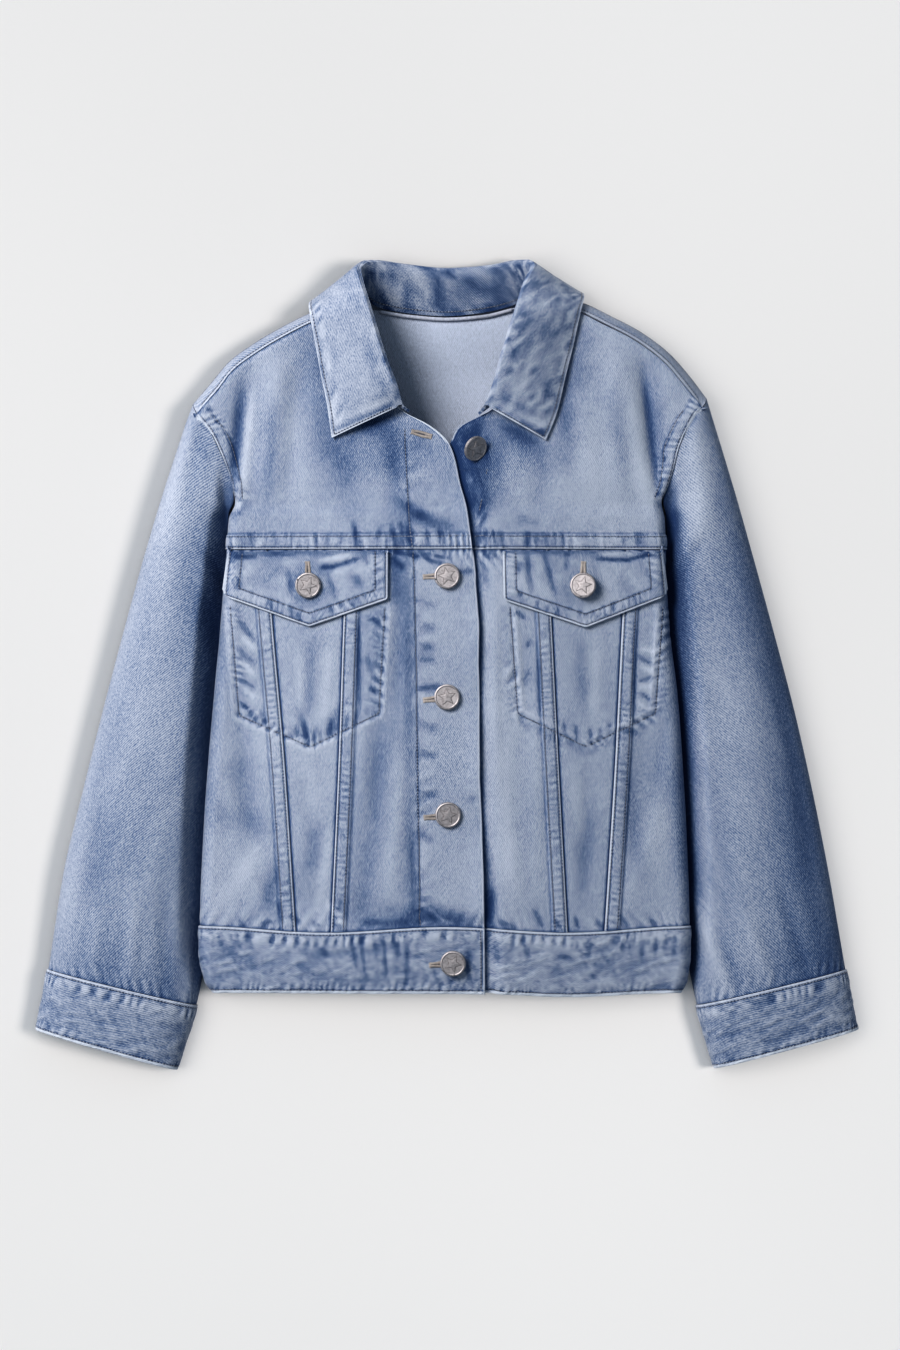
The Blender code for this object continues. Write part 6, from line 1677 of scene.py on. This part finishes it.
def sew(name, rows, thread=None, width=None, length=0.66, lift=0.12, look="topstitch", shaded_holes=True):
    """One joined mesh of stitches; rows are (places, normals, ways, pitch) with sizes in metres. With
    shaded_holes, a dark patch of painted shade lies between each two stitches where the needle went through.
    """
    width = width or sizes().thread
    shape, shape_faces = one_stitch()
    turn = np.arange(6) * math.pi / 3
    hole = np.stack([0.30 * np.cos(turn), 0.5 * np.sin(turn), 0 * turn], 1)
    hole = np.concatenate([hole, [[0, 0, 0.12]]])
    hole_shade_faces = [(k, (k + 1) % 6, 6) for k in range(6)]
    verts, polys, shades, start = [], [], [], 0
    rng = np.random.default_rng(7)

    def lay(points, faces, places, normals, ways, long, wide, high, rise, shade):
        nonlocal start
        sides = np.cross(normals, ways)
        laid = (places + normals * rise)[:, None]
        laid = laid + (points[:, 0] * long[:, None])[..., None] * ways[:, None]
        laid = laid + (points[:, 1] * wide[:, None])[..., None] * sides[:, None]
        verts.append((laid + (points[:, 2] * high)[None, :, None] * normals[:, None]).reshape(-1, 3))
        for _ in range(len(places)):
            polys.extend(tuple(start + v for v in f) for f in faces)
            start += len(points)
        shades.extend([shade] * (len(places) * len(faces)))

    for places, normals, ways, pitch in rows:
        wobble = 1 + 0.10 * rng.standard_normal((len(places), 2))
        # Painted shade: a flat dark patch between each two stitches stands for the needle hole's shadow.
        if shaded_holes:
            between, up = (places[1:] + places[:-1]) / 2, unit(normals[1:] + normals[:-1])
            along = unit(places[1:] - places[:-1])
            span = np.full(len(between), pitch * 1.1)
            lay(hole, hole_shade_faces, between, up, along, span, 1.5 * width * wobble[1:, 1], width, 0.00007, 1)
        skewed = unit(ways + np.cross(normals, ways) * (0.05 * rng.standard_normal(len(places)))[:, None])
        lay(shape, shape_faces, places, normals, skewed, pitch * length * wobble[:, 0], width * wobble[:, 1],
            0.8 * width, lift * width, 0)
    looks = (material(look, spun, thread or colors().thread), material("needle_shade", spun, NEEDLE_SHADE))
    piece = mesh_piece(name, np.concatenate(verts), polys, *looks)
    piece.data.polygons.foreach_set("material_index", shades)
    piece.data.shade_smooth()
    attach(piece, "tape_and_thread")


def over_front(side, plan, layer):
    """Points over the front, a layer above its cloth, for points of a plan."""
    a = across_cloth(side, np.abs(plan[:, 0]), plan[:, 1]) * np.sign(plan[:, 0])
    points, normals = framed(front, a, plan[:, 1], 0.05)
    return points + normals * layer


def cloth_row(piece, side, plan, layer):
    """Stitches on a piece of the front, along a plan line."""
    plan = np.asarray(plan, float)
    fine = [plan[:1]]
    for p, q in zip(plan, plan[1:]):
        n = max(2, int(np.hypot(*(q - p)) / 3))
        fine.append(p + (q - p) * (np.arange(1, n + 1) / n)[:, None])
    return laid_row(piece, over_front(side, np.concatenate(fine), layer))


def seam_rows_of(side):
    """Rows of stitches on one front, as (piece, plan, layer)."""
    sign, rows = SIDES[side], []
    y = np.linspace(WAIST_SEAM - 2, YOKE_SEAM - 0.5, 30)
    for step in (ROW_NEAR, ROW_FAR):
        x = sign * (np.abs(seam[side + "_outer"](y)) + step)
        rows.append(("cloth_side_front_" + side, list(zip(x, y)), SEAM_RISE))
        x = sign * (np.abs(seam[side + "_inner"](y)) - step)
        rows.append(("cloth_centre_front_" + side, list(zip(x, y)), SEAM_RISE))
        inner = over_edge(YOKE_SEAM) - 1.5 if side == "right" else over_edge(YOKE_SEAM) + 1.0
        outer = sign * (body[side](80) - 1.5)
        plan = [(outer, YOKE_SEAM + step), (inner, YOKE_SEAM + step)]
        rows.append(("cloth_front_yoke_" + side, plan, SEAM_RISE))
    return rows


def offset_plan(line, step):
    """A plan line moved to its left by step, its corners mitred."""
    line = np.asarray(line, float)
    ways = unit(np.diff(line, axis=0))
    left = np.stack([-ways[:, 1], ways[:, 0]], 1)
    moved = [line[0] + left[0] * step]
    for k in range(1, len(line) - 1):
        middle = unit(left[k - 1] + left[k])
        moved.append(line[k] + middle * step / max(0.3, float(middle @ left[k])))
    moved.append(line[-1] + left[-1] * step)
    return moved


def pocket_rows(side):
    """The pocket's outline, given piece by piece where it crosses the seams."""
    line = np.asarray(POCKET_ROWS[side], float)
    length = np.concatenate([[0], np.cumsum(np.hypot(*np.diff(line, axis=0).T))])
    fine = np.stack([np.interp(np.arange(0, length[-1], 0.8), length, line[:, k]) for k in (0, 1)], 1)
    outer, inner = np.abs(seam[side + "_outer"](fine[:, 1])), np.abs(seam[side + "_inner"](fine[:, 1]))
    x = np.abs(fine[:, 0])
    piece = np.where(x > outer, 0, np.where(x > inner, 1, 2))
    names = ["cloth_side_front_", "cloth_middle_front_", "cloth_centre_front_"]
    runs = np.split(np.arange(len(fine)), np.flatnonzero(np.diff(piece)) + 1)
    return [(names[piece[k[0]]] + side, fine[k], 0.0) for k in runs if len(k) > 2]


def front_stitches(side):
    sign = SIDES[side]
    rows = seam_rows_of(side) + pocket_rows(side)
    for step in (ROW_NEAR, FLAP_ROW):
        plan = offset_plan(flap_outline(side), -sign * step)
        rows.append(("cloth_pocket_flap_" + side, plan, FLAP_GAP + FLAP_CLOTH))
    yoke_name, panel_name = "cloth_front_yoke_" + side, "cloth_centre_front_" + side
    if side == "right":
        rows.append((yoke_name, [(-27.8, 158), (-27.8, 148), (-24.5, 90.5), (-22.6, 78)], PLACKET_RISE))
        rows.append((panel_name, [(-22.4, 76), (-21.8, 70), (-19.8, -23.5), (-17.8, -174)], PLACKET_RISE))
    else:
        rows.append((yoke_name, UNDER_ROW, -1.0))
    arm = np.linspace(ARMPIT + 2, SLEEVES[side][0].outer_y - 9, 24)
    for step in (ROW_NEAR, ROW_FAR):
        x = sign * (body[side](arm) - 1.15 * step / lap_narrowing(arm))
        keep = shoulder_depth(x, arm) > SHOULDER_SEAM + 1
        rows.append((yoke_name, list(zip(x[keep], arm[keep])), 0))
    sew("stitches_front_" + side, [cloth_row(piece, side, plan, layer) for piece, plan, layer in rows])


def band_stitches():
    rows, middle = [], -198.0
    for side in SIDES:
        start = over_edge(middle) + (-1.4 if side == "right" else 1.5)
        x = np.linspace(start, SIDES[side] * (front_end(side, middle) - 1), 60)
        for line in (waist_line(x) - GAP / 2 - ROW_NEAR, hem_line(x) + ROW_HEM):
            points, normals = framed(front, x, line, 0.05)
            rows.append(laid_row("cloth_waistband_front_" + side, points + normals * BAND_RISE))
    y = np.linspace(HEM + ROW_HEM, WAIST_SEAM - ROW_NEAR, 20)
    points, normals = framed(front, over_edge(y) + 0.4 - ROW_NEAR - 1.2, y, 0.05)
    rows.append(laid_row("cloth_waistband_front_right", points + normals * BAND_RISE))
    x = np.linspace(-160, 160, 90)
    for line in (waist_line(x) - GAP / 2 - ROW_NEAR, hem_line(x) + ROW_NEAR):
        rows.append(laid_row("cloth_waistband_back", back(x, line)))
    sew("stitches_waistband", rows)


def back_stitches():
    x, k = np.linspace(-138, 138, 80), np.linspace(0.42, 0.97, 40)
    lines = [back(x, np.full_like(x, YOKE_SEAM + step)) for step in (ROW_NEAR, ROW_FAR)]
    depths = (SHOULDER_SEAM - ROW_NEAR, 0.35)
    lines += [front(*shoulder_points(side, k, depth)) for side in SIDES for depth in depths]
    sew("stitches_back", [laid_row("cloth_back_yoke", line) for line in lines])


def cuff_stitches():
    rows, theta = [], np.linspace(0, 2 * math.pi, 160)
    for side in SIDES:
        for v in (CUFF_SEAM + ROW_NEAR / CUFF_WIDTH, CUFF_MOUTH - ROW_HEM / CUFF_WIDTH):
            points, normals = sleeve_skin(side, theta, np.full_like(theta, v))
            rows.append(laid_row("cloth_cuff_" + side, points + normals * BAND_RISE))
    sew("stitches_cuffs", rows)


def collar_stitches():
    u = np.linspace(0.06, 19.94, 300)
    free = collar_surface(u, np.full_like(u, 1 - 0.4 * 0.042))
    start = collar_surface(np.full(30, 0.065), np.linspace(0.62, 0.983, 30))
    end = collar_surface(np.full(30, 19.935), np.linspace(0.983, 0.62, 30))
    u = np.linspace(6.4, 13.6, 120)
    seam_line = collar_surface(u, np.full_like(u, 0.045)) + np.array([0, -0.6, 1.0])
    lines = [np.concatenate([start, free, end]) + np.array([0, 0, 1.2]), seam_line]
    sew("stitches_collar", [laid_row("cloth_collar", line) for line in lines])


# --- buttons


def select_shaped_face(shape):
    """Selects, in edit mode, the broad upward face that is being shaped."""
    bpy.ops.object.mode_set(mode="OBJECT")
    top = face_top(shape)
    for polygon in shape.data.polygons:
        polygon.select = bool(polygon.normal.z > 0.9 and abs(polygon.center.z - top) < 1e-7)
    bpy.ops.object.mode_set(mode="EDIT")


def button_body(radius, height):
    """A turned disc with a domed rim and a dished face, modelled about its own axis."""
    bpy.ops.object.select_all(action="DESELECT")
    bpy.ops.mesh.primitive_cylinder_add(vertices=56, radius=radius * 0.52, depth=height * 0.3,
                                        location=(0, 0, height * 0.15))
    shape = bpy.context.object
    apply_place()
    bpy.ops.object.mode_set(mode="EDIT")
    bpy.ops.mesh.select_mode(type="FACE")
    for scale, rise in [(1.80, 0.10), (1.05, 0.16), (1.0, 0.16), (0.985, 0.12), (0.94, 0.10), (0.955, 0.02),
                        (0.965, -0.05), (0.955, -0.06)]:
        select_shaped_face(shape)
        bpy.ops.mesh.extrude_region_move(TRANSFORM_OT_translate={"value": (0, 0, rise * height)})
        bpy.ops.transform.resize(value=(scale, scale, 1))
    bpy.ops.object.mode_set(mode="OBJECT")
    return shape


def face_top(shape):
    """Height of the broadest upward face, which is the one that is being shaped."""
    up = [p for p in shape.data.polygons if p.normal.z > 0.9 and len(p.vertices) > 8]
    return up[-1].center.z


def star(radius, height, base):
    """A raised five-pointed star whose points have a ridge."""
    bpy.ops.object.select_all(action="DESELECT")
    bpy.ops.mesh.primitive_circle_add(vertices=10, radius=radius, fill_type="NGON", location=(0, 0, base))
    shape = bpy.context.object
    apply_place()
    for vertex in list(shape.data.vertices)[1::2]:
        vertex.co.xy *= 0.44
    bpy.ops.object.mode_set(mode="EDIT")
    bpy.ops.mesh.select_all(action="SELECT")
    bpy.ops.mesh.extrude_region_move(TRANSFORM_OT_translate={"value": (0, 0, 0.45 * height)})
    bpy.ops.transform.resize(value=(0.93, 0.93, 1))
    bpy.ops.mesh.poke(offset=0.55 * height)
    bpy.ops.object.mode_set(mode="OBJECT")
    return shape


def button_place(spec):
    """Where a button sits: its centre on the cloth and the cloth's way up, evened over its width."""
    point, normal = framed(front, np.array([spec.x]), np.array([spec.y]), 3.0)
    above = Vector(point[0] * MM + normal[0] * 3 * MM)
    return surface_tree("cloth_" + spec.on).find_nearest(above)[0], Vector(normal[0])


def buttons():
    radius, metal = sizes().button / 2, colors().metal
    for spec in BUTTONS:
        disc = button_body(radius, BUTTON_HEIGHT)
        middle = face_top(disc)
        mark = star(radius * 0.66, 0.0006, middle + 0.00003)
        shade = star(radius * 0.75, 0.0001, middle + 0.00001)
        bpy.ops.object.select_all(action="DESELECT")
        shown, hollow = material("button_pewter", pewter, metal), material("button_recess", grime, metal)
        for part, look in ((disc, shown), (mark, shown), (shade, hollow)):
            part.data.materials.clear()
            part.data.materials.append(look)
            part.select_set(True)
        bpy.context.view_layer.objects.active = disc
        bpy.ops.object.join()
        disc.name = disc.data.name = "metal_" + spec.name
        bpy.ops.object.mode_set(mode="EDIT")
        bpy.ops.mesh.select_all(action="SELECT")
        bpy.ops.mesh.normals_make_consistent(inside=False)
        bpy.ops.object.mode_set(mode="OBJECT")
        bpy.ops.object.shade_smooth_by_angle(angle=math.radians(28))
        spot, up = button_place(spec)
        up = (up + Vector((spec.lean_x, spec.lean_y, 0))).normalized()
        disc.rotation_mode = "QUATERNION"
        disc.rotation_quaternion = up.to_track_quat("Z", "Y") @ Quaternion((0, 0, 1), math.radians(spec.turn))
        lean = math.hypot(spec.lean_x, spec.lean_y)
        lift = 0.0001 + 0.7 * radius * lean / math.hypot(1, lean)
        disc.location = spot + Vector((-0.0015 * spec.lean_x, -0.0015 * spec.lean_y, lift))
        apply_place()
        attach(disc, "button_metal", spec.name)


# Buttonholes, with or without a button: centre, direction in degrees, length, and the piece they are cut in.
Hole = namedtuple("Hole", "x y turn length on")
HOLES = [
    Hole(-5.5, 59.2, 4, 19, "centre_front_right"),
    Hole(-5.5, -22.4, 6, 19, "centre_front_right"),
    Hole(-5.0, -100.8, 4, 19, "centre_front_right"),
    Hole(-1.5, -198.6, 4, 19, "waistband_front_right"),
    Hole(-16.6, 153.4, -15, 13, "front_yoke_right"),
    Hole(-91.7, 58.8, 92, 19, "pocket_flap_right"),
    Hole(90.2, 58.8, 88, 19, "pocket_flap_left"),
]


def buttonholes():
    """Close zigzag stitches round each slit, with a bar at the end, and a dark sheet of painted shade in each
    slit.
    """
    rows, slit_shades = [], []
    for hole in HOLES:
        tree = surface_tree("cloth_" + hole.on)
        side = "left" if hole.on.endswith("left") else "right"
        c, s = math.cos(math.radians(hole.turn)), math.sin(math.radians(hole.turn))
        way, away = np.array([c, s]), np.array([-s, c])
        middle, half = np.array([hole.x, hole.y]), hole.length / 2
        t = np.linspace(-1, 1, int(2.4 * hole.length))
        for sign in (-1, 1):
            spread = 0.95 + 0.25 * np.cos(t * 2.6)
            plan = middle + way * (t * half)[:, None] + away * (sign * spread)[:, None]
            places, normals, ways = project(tree, side, plan)
            rows.append((places, normals, unit(np.cross(normals, ways) + 0.35 * sign * ways), 0.0027))
        for end in (-1, 1):
            plan = middle + way * (end * half) + away * np.linspace(-1.5, 1.5, 7)[:, None]
            places, normals, ways = project(tree, side, plan)
            rows.append((places, normals, np.cross(normals, ways), 0.0020))
        slit_shades.append(project(tree, side, middle + way * (np.linspace(-0.94, 0.94, 24) * half)[:, None]))
    sew("buttonhole_stitches", rows, colors().hole, width=0.0007, length=0.8, lift=0.5,
        look="buttonhole_thread", shaded_holes=False)
    # The slits: thin dark troughs of painted shade, which stand for the darkness inside each slit.
    verts, faces, start = [], [], 0
    for places, normals, ways in slit_shades:
        n = len(places)
        width = 0.00042 * np.sqrt(np.clip(1 - np.linspace(-1, 1, n) ** 2, 0.05, 1))[:, None]
        reach = np.cross(normals, ways) * width
        high, deep = places + normals * 0.00016, places - normals * 0.0002
        verts.append(np.concatenate([high - reach, high + reach, deep - reach, deep + reach]))
        for k in range(start, start + n - 1):
            a, b, c, d = k, n + k, 2 * n + k, 3 * n + k
            faces += [(a, a + 1, b + 1, b), (c, d, d + 1, c + 1), (a, c, c + 1, a + 1), (b, b + 1, d + 1, d)]
        faces += [(start, start + n, start + 3 * n, start + 2 * n),
                  (start + n - 1, start + 3 * n - 1, start + 4 * n - 1, start + 2 * n - 1)]
        start += 4 * n
    look = material("needle_shade", spun, NEEDLE_SHADE)
    attach(mesh_piece("buttonhole_slits", np.concatenate(verts), faces, look), "tape_and_thread")


def project(tree, side, plan):
    """The cloth under points of a plan, looking straight down: places, normals and ways."""
    places, normals = [], []
    for p in over_front(side, plan, 4) * MM:
        spot, normal, _, _ = tree.ray_cast(Vector(p), Vector((0, 0, -1)))
        if spot is None:
            spot, normal, _, _ = tree.find_nearest(Vector(p))
        places.append(spot)
        normals.append(normal if normal.z > 0 else -normal)
    return along_line(places, normals)


# --- stage


def stage():
    """A plain pale surface, soft studio light and the camera straight above."""
    scene = bpy.context.scene
    scene.view_settings.view_transform = "Standard"
    scene.view_settings.look = "High Contrast"
    bpy.ops.object.select_all(action="DESELECT")
    bpy.ops.mesh.primitive_grid_add(x_subdivisions=8, y_subdivisions=8, size=16, location=(0, 0, -0.0003))
    floor = bpy.context.object
    floor.name = floor.data.name = "studio_floor"
    apply_place()
    floor.data.materials.append(material("pale_paper", paper, colors().floor))
    world = scene.world = bpy.data.worlds.new("studio")
    world.use_nodes = True
    back_light = world.node_tree.nodes["Background"]
    back_light.inputs[0].default_value = (0.70, 0.86, 1.0, 1)
    back_light.inputs[1].default_value = 0.26
    soft_light("key_softbox", (-1.50, 1.12, 1.95), 1.4, 72, (1.0, 0.985, 0.965), floor, "EXCLUDE")
    warm = (1.0, 0.925, 0.86)
    soft_light("floor_softbox", (4.2, 0.0, 5.8), 2.2, 172, warm, floor, "INCLUDE")
    soft_light("floor_fill", (-1.7, 0.0, 2.6), 2.2, 17, warm, floor, "INCLUDE")
    soft_light("floor_top", (-0.3, 0.5, 3.0), 2.4, 14, warm, floor, "INCLUDE")
    soft_light("overhead_card", (0, 0, 3.4), 1.2, 2.5, (1.0, 1.0, 1.0), floor, "EXCLUDE")
    camera = bpy.data.cameras.new("overhead_camera")
    camera.sensor_fit = "VERTICAL"
    camera.sensor_height = 36
    camera.lens = 36 * CAMERA_DISTANCE / SEEN_LENGTH
    camera.clip_end = 20
    eye = bpy.data.objects.new("overhead_camera", camera)
    eye.location = (2.3 * MM, -6.7 * MM, 0.022 + CAMERA_DISTANCE)
    scene.collection.objects.link(eye)
    scene.camera = eye


def soft_light(name, place, size, power, color, thing, state):
    """A round softbox aimed at the jacket, which lights only one thing or all but that thing."""
    light = bpy.data.lights.new(name, "AREA")
    light.shape, light.size, light.energy, light.color = "DISK", size, power, color
    lamp = bpy.data.objects.new(name, light)
    lamp.location = place
    lamp.rotation_euler = (Vector() - Vector(place)).to_track_quat("-Z", "Y").to_euler()
    bpy.context.scene.collection.objects.link(lamp)
    lit = bpy.data.collections.new(name + "_receivers")
    lit.objects.link(thing)
    lit.collection_objects[0].light_linking.link_state = state
    lamp.light_linking.receiver_collection = lit


# --- operators


class JACKET_OT_stage(bpy.types.Operator):
    """Adds the surface, the lights and the camera"""

    bl_idname = "jacket.stage"
    bl_label = "Stage"

    def execute(self, context):
        stage()
        return {"FINISHED"}


class JACKET_OT_fronts(bpy.types.Operator):
    """Adds the front yokes and the front panels with their lapped seams"""

    bl_idname = "jacket.fronts"
    bl_label = "Fronts"

    def execute(self, context):
        for side in SIDES:
            yoke(side)
            side_panel(side)
            middle_panel(side)
            centre_panel(side)
        return {"FINISHED"}


class JACKET_OT_flaps(bpy.types.Operator):
    """Adds the pocket flaps and finishes the hidden pocket bags"""

    bl_idname = "jacket.flaps"
    bl_label = "Pocket flaps"

    def execute(self, context):
        for side in SIDES:
            flap(side)
            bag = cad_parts["pocket_bag_" + side]
            bag.material_slots[0].material = material("pocketing", spun, (0.5, 0.52, 0.56))
        return {"FINISHED"}


class JACKET_OT_bands(bpy.types.Operator):
    """Adds the waistband and the cuffs"""

    bl_idname = "jacket.bands"
    bl_label = "Waistband and cuffs"

    def execute(self, context):
        waist_band_back()
        for side in SIDES:
            waist_band(side)
            cuff(side)
        return {"FINISHED"}


class JACKET_OT_sleeves(bpy.types.Operator):
    """Adds both sleeves, each an upper and an under piece"""

    bl_idname = "jacket.sleeves"
    bl_label = "Sleeves"

    def execute(self, context):
        for side in SIDES:
            sleeve(side)
        return {"FINISHED"}


class JACKET_OT_back(bpy.types.Operator):
    """Adds the back panel and the back yoke"""

    bl_idname = "jacket.back"
    bl_label = "Back"

    def execute(self, context):
        back_panel()
        back_yoke()
        return {"FINISHED"}


class JACKET_OT_collar(bpy.types.Operator):
    """Adds the collar and the piped tape inside the neck"""

    bl_idname = "jacket.collar"
    bl_label = "Collar"

    def execute(self, context):
        collar()
        neck_tape()
        return {"FINISHED"}


class JACKET_OT_stitches(bpy.types.Operator):
    """Sews the topstitching on every piece"""

    bl_idname = "jacket.stitches"
    bl_label = "Topstitching"

    def execute(self, context):
        for side in SIDES:
            front_stitches(side)
        band_stitches()
        back_stitches()
        cuff_stitches()
        collar_stitches()
        return {"FINISHED"}


class JACKET_OT_buttons(bpy.types.Operator):
    """Adds the metal buttons and the buttonholes"""

    bl_idname = "jacket.buttons"
    bl_label = "Buttons and buttonholes"

    def execute(self, context):
        buttons()
        buttonholes()
        return {"FINISHED"}


STEPS = (
    JACKET_OT_stage,
    JACKET_OT_fronts,
    JACKET_OT_flaps,
    JACKET_OT_bands,
    JACKET_OT_sleeves,
    JACKET_OT_back,
    JACKET_OT_collar,
    JACKET_OT_stitches,
    JACKET_OT_buttons,
)


class JACKET_PT_panel(bpy.types.Panel):
    """Lists the jacket's sizes, colours and steps"""

    bl_idname = "JACKET_PT_panel"
    bl_label = "Denim Jacket"
    bl_space_type = "VIEW_3D"
    bl_region_type = "UI"
    bl_category = "Jacket"

    def draw(self, context):
        for group in (context.scene.jacket_sizes, context.scene.jacket_colors):
            box = self.layout.box()
            for name in group.__annotations__:
                box.prop(group, name)
        for step in STEPS:
            self.layout.operator(step.bl_idname)


CLASSES = (JacketSizes, JacketColors, *STEPS, JACKET_PT_panel)


def register():
    for made in CLASSES:
        bpy.utils.register_class(made)
    bpy.types.Scene.jacket_sizes = bpy.props.PointerProperty(type=JacketSizes)
    bpy.types.Scene.jacket_colors = bpy.props.PointerProperty(type=JacketColors)


def unregister():
    del bpy.types.Scene.jacket_colors
    del bpy.types.Scene.jacket_sizes
    for made in reversed(CLASSES):
        bpy.utils.unregister_class(made)


def main():
    register()
    bpy.ops.jacket.stage()
    bpy.ops.jacket.fronts()
    bpy.ops.jacket.flaps()
    bpy.ops.jacket.bands()
    bpy.ops.jacket.sleeves()
    bpy.ops.jacket.back()
    bpy.ops.jacket.collar()
    bpy.ops.jacket.stitches()
    bpy.ops.jacket.buttons()


if __name__ == "__main__":
    main()
